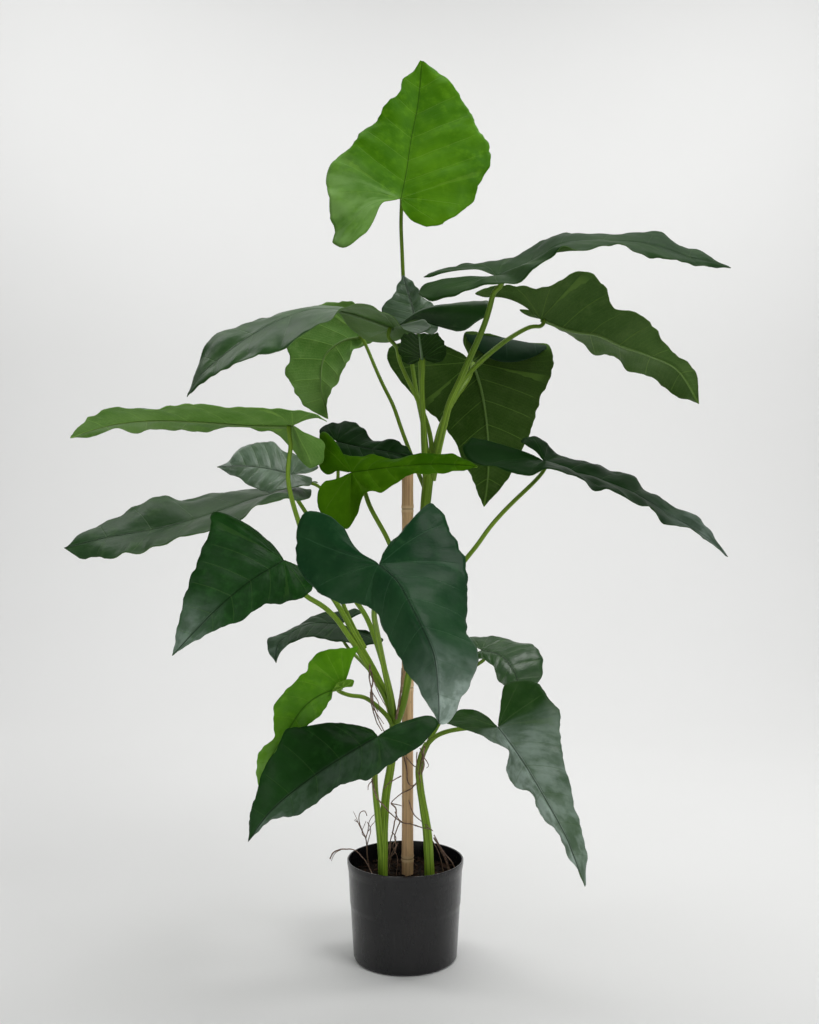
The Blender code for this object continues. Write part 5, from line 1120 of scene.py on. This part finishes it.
class Finish:
    """A node material, put together step by step."""

    def __init__(self, name):
        self.material = bpy.data.materials.new(name)
        self.material.use_nodes = True
        self.tree = self.material.node_tree
        self.shader = self.tree.nodes["Principled BSDF"]

    def feed(self, socket, value):
        if isinstance(value, Term):
            self.tree.links.new(value.socket, socket)
        elif socket.type == "RGBA" and len(value) == 3:
            socket.default_value = (*value, 1.0)
        else:
            socket.default_value = value

    def add(self, kind, settings, inputs, output=0):
        item = self.tree.nodes.new("ShaderNode" + kind)
        for key, value in settings.items():
            setattr(item, key, value)
        for key, value in inputs.items():
            self.feed(item.inputs[key], value)
        return Term(self, item.outputs[output])

    def value(self, name):
        """A value that the mesh holds at each of its points."""
        return self.add("Attribute", {"attribute_name": name}, {}, "Fac")

    def math(self, operation, *values):
        return self.add("Math", {"operation": operation}, dict(enumerate(values)))

    def from_half(self, value):
        """How far the value's fraction lies from a half."""
        return self.math("ABSOLUTE", self.math("FRACT", value) - 0.5)

    def step(self, value, low, high):
        """0 below low, 1 above high, and a soft change between them. Turned round where low > high."""
        first, second = (0.0, 1.0) if low < high else (1.0, 0.0)
        inputs = {"Value": value, "From Min": min(low, high), "From Max": max(low, high),
                  "To Min": first, "To Max": second}
        return self.add("MapRange", {"interpolation_type": "SMOOTHSTEP"}, inputs)

    def mix(self, share, first, second):
        return self.add("Mix", {"data_type": "RGBA"}, {0: share, 6: first, 7: second}, 2)

    def over(self, tone, *layers):
        """Colours laid over the tone one after another, each given as (share, colour)."""
        for share, colour in layers:
            tone = self.mix(share, tone, colour)
        return tone

    def join(self, x, y, z):
        return self.add("CombineXYZ", {}, {"X": x, "Y": y, "Z": z})

    def stretched(self, scale=(1, 1, 1)):
        """Places in the object's own frame, scaled along each axis."""
        where = self.add("TexCoord", {}, {}, "Object")
        return self.add("Mapping", {}, {"Vector": where, "Scale": scale})

    def height(self):
        return self.add("SeparateXYZ", {}, {"Vector": self.stretched()}, "Z")

    def noise(self, scale, detail=3.0, rough=0.55, where=None):
        inputs = {"Vector": where or self.stretched(), "Scale": scale, "Detail": detail,
                  "Roughness": rough, "Distortion": 0.0}
        return self.add("TexNoise", {}, inputs, "Fac")

    def cells(self, scale):
        inputs = {"Vector": self.stretched(), "Scale": scale}
        return self.add("TexVoronoi", {"feature": "DISTANCE_TO_EDGE"}, inputs, "Distance")

    def finish(self, color, roughness, relief, depth, **more):
        """The material with its colour, roughness and relief. The relief is up to depth metres high."""
        bump = self.add("Bump", {}, {"Height": relief, "Distance": depth, "Strength": 1.0})
        settings = {"Base_Color": color, "Roughness": roughness, "Normal": bump, **more}
        for key, value in settings.items():
            self.feed(self.shader.inputs[key.replace("_", " ")], value)
        return self.material


def leaf_blade_finish(name, tint, look_values, under):
    """Waxy upper face or matte underside, with side veins and a midrib. The underside has a fine net. The
    upper face has a painted sheen and a painted shadow along its midrib.
    """
    look = Finish(name)
    # lobe, middle and tip are amounts of painted sheen; share_a and share_b are its share on each half
    strength, level, rough, lobe, middle, tip, share_a, share_b = look_values
    # strength darkens leaves that lie in shade and brightens leaf_05, which light shines through: painted
    # shade and painted light
    colours = [[strength * part for part in colour] for colour in LEAF_FINISH[tint]]
    shade, light, vein = colours[:3]
    if under:
        shade, light = colours[3:]
        vein = [max(strength, 1.0) * part for part in LEAF_FINISH[tint][2]]
    phase, off, across = [look.value(key) for key in ("phase", "off", "across")]
    turn = look.from_half(phase + 0.5)
    side_vein = look.step(turn * look.value("gap"), VEIN_WIDTH, VEIN_WIDTH * 0.35)
    side_vein = side_vein * look.step(across, 0.97, 0.80)
    rib_width = RIB_WIDTH if under else FACE_RIB_SHADOW_WIDTH
    rib = look.step(off, rib_width, rib_width * 0.5)
    edge = look.step(across, 0.985, 1.0) * 0.35
    broad = look.step(look.noise(9.0, 4.0, 0.6), 0.34, 0.68)
    mottle = look.noise(75.0, 5.0, 0.62)
    tone = look.over(look.mix(broad * 0.75, shade, light), (look.step(mottle, 0.45, 0.85), light),
                     (look.step(turn, 0.0, 0.5) * 0.22, shade))
    if under:
        fine = look.step(look.from_half(phase * 7.0), 0.36, 0.50)
        net = look.step(look.cells(260.0), 0.10, 0.02)
        tone = look.over(tone, (fine * 0.14, vein), (net * 0.12, vein), (side_vein * 0.66, vein),
                         (rib * 0.85, vein), (edge, vein))
        relief = side_vein + net * 0.30 + fine * 0.25 + mottle * 0.8
        return look.finish(tone, mottle * 0.20 + 0.56, relief, 0.00035, Specular_IOR_Level=level)
    half = look.value("half")
    # Painted sheen: a pale colour standing in for the lamps' reflection, on the lobes, the middle and
    # towards the tip, broken into streaks along the folds
    painted_sheen = look.step(phase, 0.8, -1.0) * (lobe - middle) + look.step(phase, 3.0, 5.6) * (tip - middle)
    painted_sheen = (painted_sheen + middle) * (half * (share_b - share_a) + share_a)
    fold = look.noise(1.0, 4.0, 0.55, look.join(phase * 1.6, across * 1.4, half * 5.0))
    patch = look.step(look.noise(26.0, 4.0, 0.6), 0.36, 0.64) * 0.5 + look.step(fold, 0.38, 0.62)
    painted_sheen = painted_sheen * (patch * 0.62 + 0.35)
    # Painted sheen, pale side veins, a painted shadow along the sunken midrib, and the pale edge
    tone = look.over(tone, (painted_sheen, BRIGHT_PAINTED_SHEEN if tint == "bright" else PAINTED_SHEEN), (side_vein * 0.22, vein),
                     (rib * 0.62, [0.4 * part for part in shade]), (edge, vein))
    relief = mottle * 0.55 + fold * 4.5 - side_vein * 0.7
    return look.finish(tone, mottle * 0.20 + (rough - 0.08), relief, 0.0003, Specular_IOR_Level=level)


def midrib_finish(tint):
    look = Finish("midrib_" + tint)
    streak = look.noise(140.0, 4.0, 0.6)
    tone = look.mix(look.step(streak, 0.35, 0.75), LEAF_FINISH[tint][2], LEAF_FINISH[tint][4])
    return look.finish(tone, 0.48, streak, 0.0003)


def stalk_finish():
    """Pale green stalk with darker lengthwise streaks and browner, drier skin low down."""
    look = Finish("stalk_green")
    round_x, round_y, along = [look.value(key) for key in ("round_x", "round_y", "along")]
    streak = look.noise(2.4, 6.0, 0.65, look.join(round_x * 2.2, round_y * 2.2, along * 3.0))
    broad = look.noise(7.0, 3.0, 0.5)
    fleck = look.noise(420.0, 3.0, 0.6)
    level = look.height() + broad * 0.10
    dry = look.step(level, 0.262, 0.285) * look.step(level, 0.350, 0.325) * look.step(streak, 0.46, 0.62)
    tone = look.over(look.mix(look.step(streak, 0.38, 0.66), STALK_LIGHT, STALK_SHADE),
                     (look.step(streak, 0.36, 0.22) * 0.60, STALK_PALE),
                     (look.step(broad, 0.42, 0.70) * 0.50, STALK_SHADE), (dry * 0.85, STALK_BROWN),
                     (look.step(fleck, 0.64, 0.76) * 0.22, STALK_BROWN))
    return look.finish(tone, streak * 0.20 + 0.40, streak, 0.0006, Specular_IOR_Level=0.25)


def pot_finish():
    look = Finish("pot_charcoal")
    scuff = look.noise(60.0, 6.0, 0.7, look.stretched((1, 1, 0.25)))
    dust = look.step(look.noise(14.0, 5.0, 0.65), 0.40, 0.80)
    tone = look.over(look.mix(dust, POT_BLACK, POT_DUST), (look.step(scuff, 0.60, 0.80) * 0.30, POT_SCUFF))
    return look.finish(tone, scuff * 0.16 + 0.20, look.noise(900.0, 4.0, 0.6), 0.00012,
                       Specular_IOR_Level=0.30, Coat_Weight=0.3, Coat_Roughness=0.16)


def soil_finish():
    look = Finish("soil_dark")
    lump = look.noise(160.0, 6.0, 0.7)
    tone = look.over(look.mix(look.step(lump, 0.35, 0.70), SOIL_SHADE, SOIL_LIGHT),
                     (look.step(look.noise(45.0), 0.55, 0.75) * 0.5, SOIL_SHADE))
    return look.finish(tone, 0.92, lump + look.cells(340.0) * 0.8, 0.0012, Specular_IOR_Level=0.08)


def chips_finish():
    look = Finish("bark_chips")
    grain = look.noise(500.0, 5.0, 0.65)
    tone = look.over(look.mix(look.value("tone"), CHIP_SHADE, CHIP_LIGHT),
                     (look.step(grain, 0.5, 0.8) * 0.5, CHIP_GRAIN))
    return look.finish(tone, 0.88, grain, 0.0006, Specular_IOR_Level=0.08)


def bamboo_finish():
    look = Finish("bamboo")
    fibre = look.noise(420.0, 5.0, 0.6, look.stretched((1, 1, 0.025)))
    blotch = look.noise(16.0, 4.0, 0.6, look.stretched((1, 1, 0.35)))
    fleck = look.noise(260.0, 3.0, 0.6, look.stretched((1, 1, 0.18)))
    tone = look.over(look.mix(look.step(fibre, 0.30, 0.70), BAMBOO_LIGHT, BAMBOO_SHADE),
                     (look.step(blotch, 0.48, 0.72) * 0.60, BAMBOO_BLOTCH),
                     (look.step(fleck, 0.62, 0.74) * 0.50, BAMBOO_FLECK))
    height = look.height()
    for z in STAKE_NODES:
        near = look.math("ABSOLUTE", height - z)
        tone = look.over(tone, (look.step(near, 0.0060, 0.0025) * 0.60, NODE_RING),
                         (look.step(near, 0.0012, 0.0005) * 0.60, NODE_LINE))
    return look.finish(tone, fibre * 0.20 + 0.45, fibre, 0.0005)


def root_finish(name, shade, light):
    look = Finish(name)
    patch = look.noise(180.0, 5.0, 0.65)
    tone = look.mix(look.step(patch, 0.35, 0.68), shade, light)
    return look.finish(tone, 0.72, patch + look.noise(900.0, 3.0, 0.6), 0.0005)


def backdrop_finish():
    look = Finish("backdrop")
    tone = look.mix(look.noise(1.3, 2.0, 0.5), WALL_SHADE, WALL_PALE)
    return look.finish(tone, 0.9, look.noise(300.0), 0.0001)


# Light, floor and camera
def make_floor():
    """Pale floor that turns up smoothly into the wall behind."""
    profile = [(FLOOR_FRONT, 0.0), (FLOOR_BACK, 0.0)]
    for k in range(1, FLOOR_BEND_STEPS + 1):
        turn = math.pi / 2 * k / FLOOR_BEND_STEPS
        profile.append((FLOOR_BACK + FLOOR_BEND * math.sin(turn), FLOOR_BEND * (1 - math.cos(turn))))
    profile.append((FLOOR_BACK + FLOOR_BEND, WALL_TOP))
    verts = []
    for y, z in profile:
        verts += [(-FLOOR_HALF_WIDTH, y, z - FLOOR_DROP), (FLOOR_HALF_WIDTH, y, z - FLOOR_DROP)]
    floor = mesh_object("backdrop", verts, [[2 * k, 2 * k + 1, 2 * k + 3, 2 * k + 2]
                                            for k in range(len(profile) - 1)])
    floor.data.materials.append(backdrop_finish())


def make_light(name, energy, size, place_at, aim):
    lamp = bpy.data.lights.new(name, "AREA")
    lamp.energy = energy
    lamp.shape = "DISK"
    lamp.size = size
    item = bpy.data.objects.new(name, lamp)
    item.location = place_at
    item.rotation_euler = (Vector(aim) - Vector(place_at)).to_track_quat("-Z", "Y").to_euler()
    bpy.context.scene.collection.objects.link(item)


def make_camera():
    camera = bpy.data.cameras.new("camera")
    camera.sensor_fit = "VERTICAL"
    camera.sensor_height = SENSOR
    camera.lens = VIEW_FOCAL / PHOTO_HEIGHT * SENSOR
    item = bpy.data.objects.new("camera", camera)
    item.location = (VIEW_X, -VIEW_DISTANCE, VIEW_Z)
    item.rotation_euler = (math.pi / 2, 0.0, 0.0)
    bpy.context.scene.collection.objects.link(item)
    bpy.context.scene.camera = item


def make_world():
    world = bpy.data.worlds.new("studio")
    world.use_nodes = True
    shade = world.node_tree.nodes["Background"]
    shade.inputs["Color"].default_value = WORLD_COLOUR
    shade.inputs["Strength"].default_value = WORLD_LIGHT
    bpy.context.scene.world = world
    bpy.context.scene.view_settings.view_transform = "Standard"


def settle(item, slot, nodes, *materials):
    """The piece gets its finishes, rides on the body and stands for its nodes."""
    slots = item.data.materials
    while len(slots) < len(materials):
        slots.append(None)
    for number, material in enumerate(materials):
        slots[number] = material
    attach(item, "root")
    if nodes:
        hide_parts(*nodes)


def main():
    make_world()
    make_camera()
    make_floor()
    for name, values in LIGHTS.items():
        make_light(name, *values)

    midribs = {tint: midrib_finish(tint) for tint in sorted({leaf["tint"] for leaf in LEAVES.values()})}
    for number, (key, leaf) in enumerate(LEAVES.items()):
        tint = leaf["tint"]
        upper = leaf_blade_finish(key + "_upper", tint, LEAF_LOOK[key], False)
        under = leaf_blade_finish(key + "_under", tint, LEAF_LOOK[key], True)
        settle(make_leaf(key + "_blade", leaf, number), "leaf_" + tint, [key], upper, under, midribs[tint])
    settle(make_fold(), "leaf_mid", [], leaf_blade_finish("leaf_16_margin", "deep", MARGIN_LOOK, False))

    stalks = stalk_finish()
    for stem in ("main", "right"):
        item = tubes_object("stems_" + stem, stem_runs(stem), TUBE_SIDES)
        settle(item, "stalk", ["stem_" + stem], stalks)

    brown = root_finish("root_brown", ROOT_SHADE, ROOT_LIGHT)
    dry = root_finish("stalk_dry_skin", DRY_SHADE, DRY_LIGHT)
    for key, runs in ROOTS.items():
        slot, skin = ("dry_stalk", dry) if key == "stalk_dry" else ("root", brown)
        settle(tubes_object(key + "_fine", root_runs(runs), ROOT_SIDES), slot, [key], skin)
    for key, runs in FINE_ROOTS.items():
        settle(tubes_object(key, root_runs(runs), ROOT_SIDES), "root", [], brown)

    settle(make_pot(), "pot", ["pot"], pot_finish())
    settle(make_soil(), "soil", ["soil"], soil_finish())
    settle(make_chips(), "soil", [], chips_finish())
    settle(make_stake(), "bamboo", ["bamboo_stake"], bamboo_finish())


main()
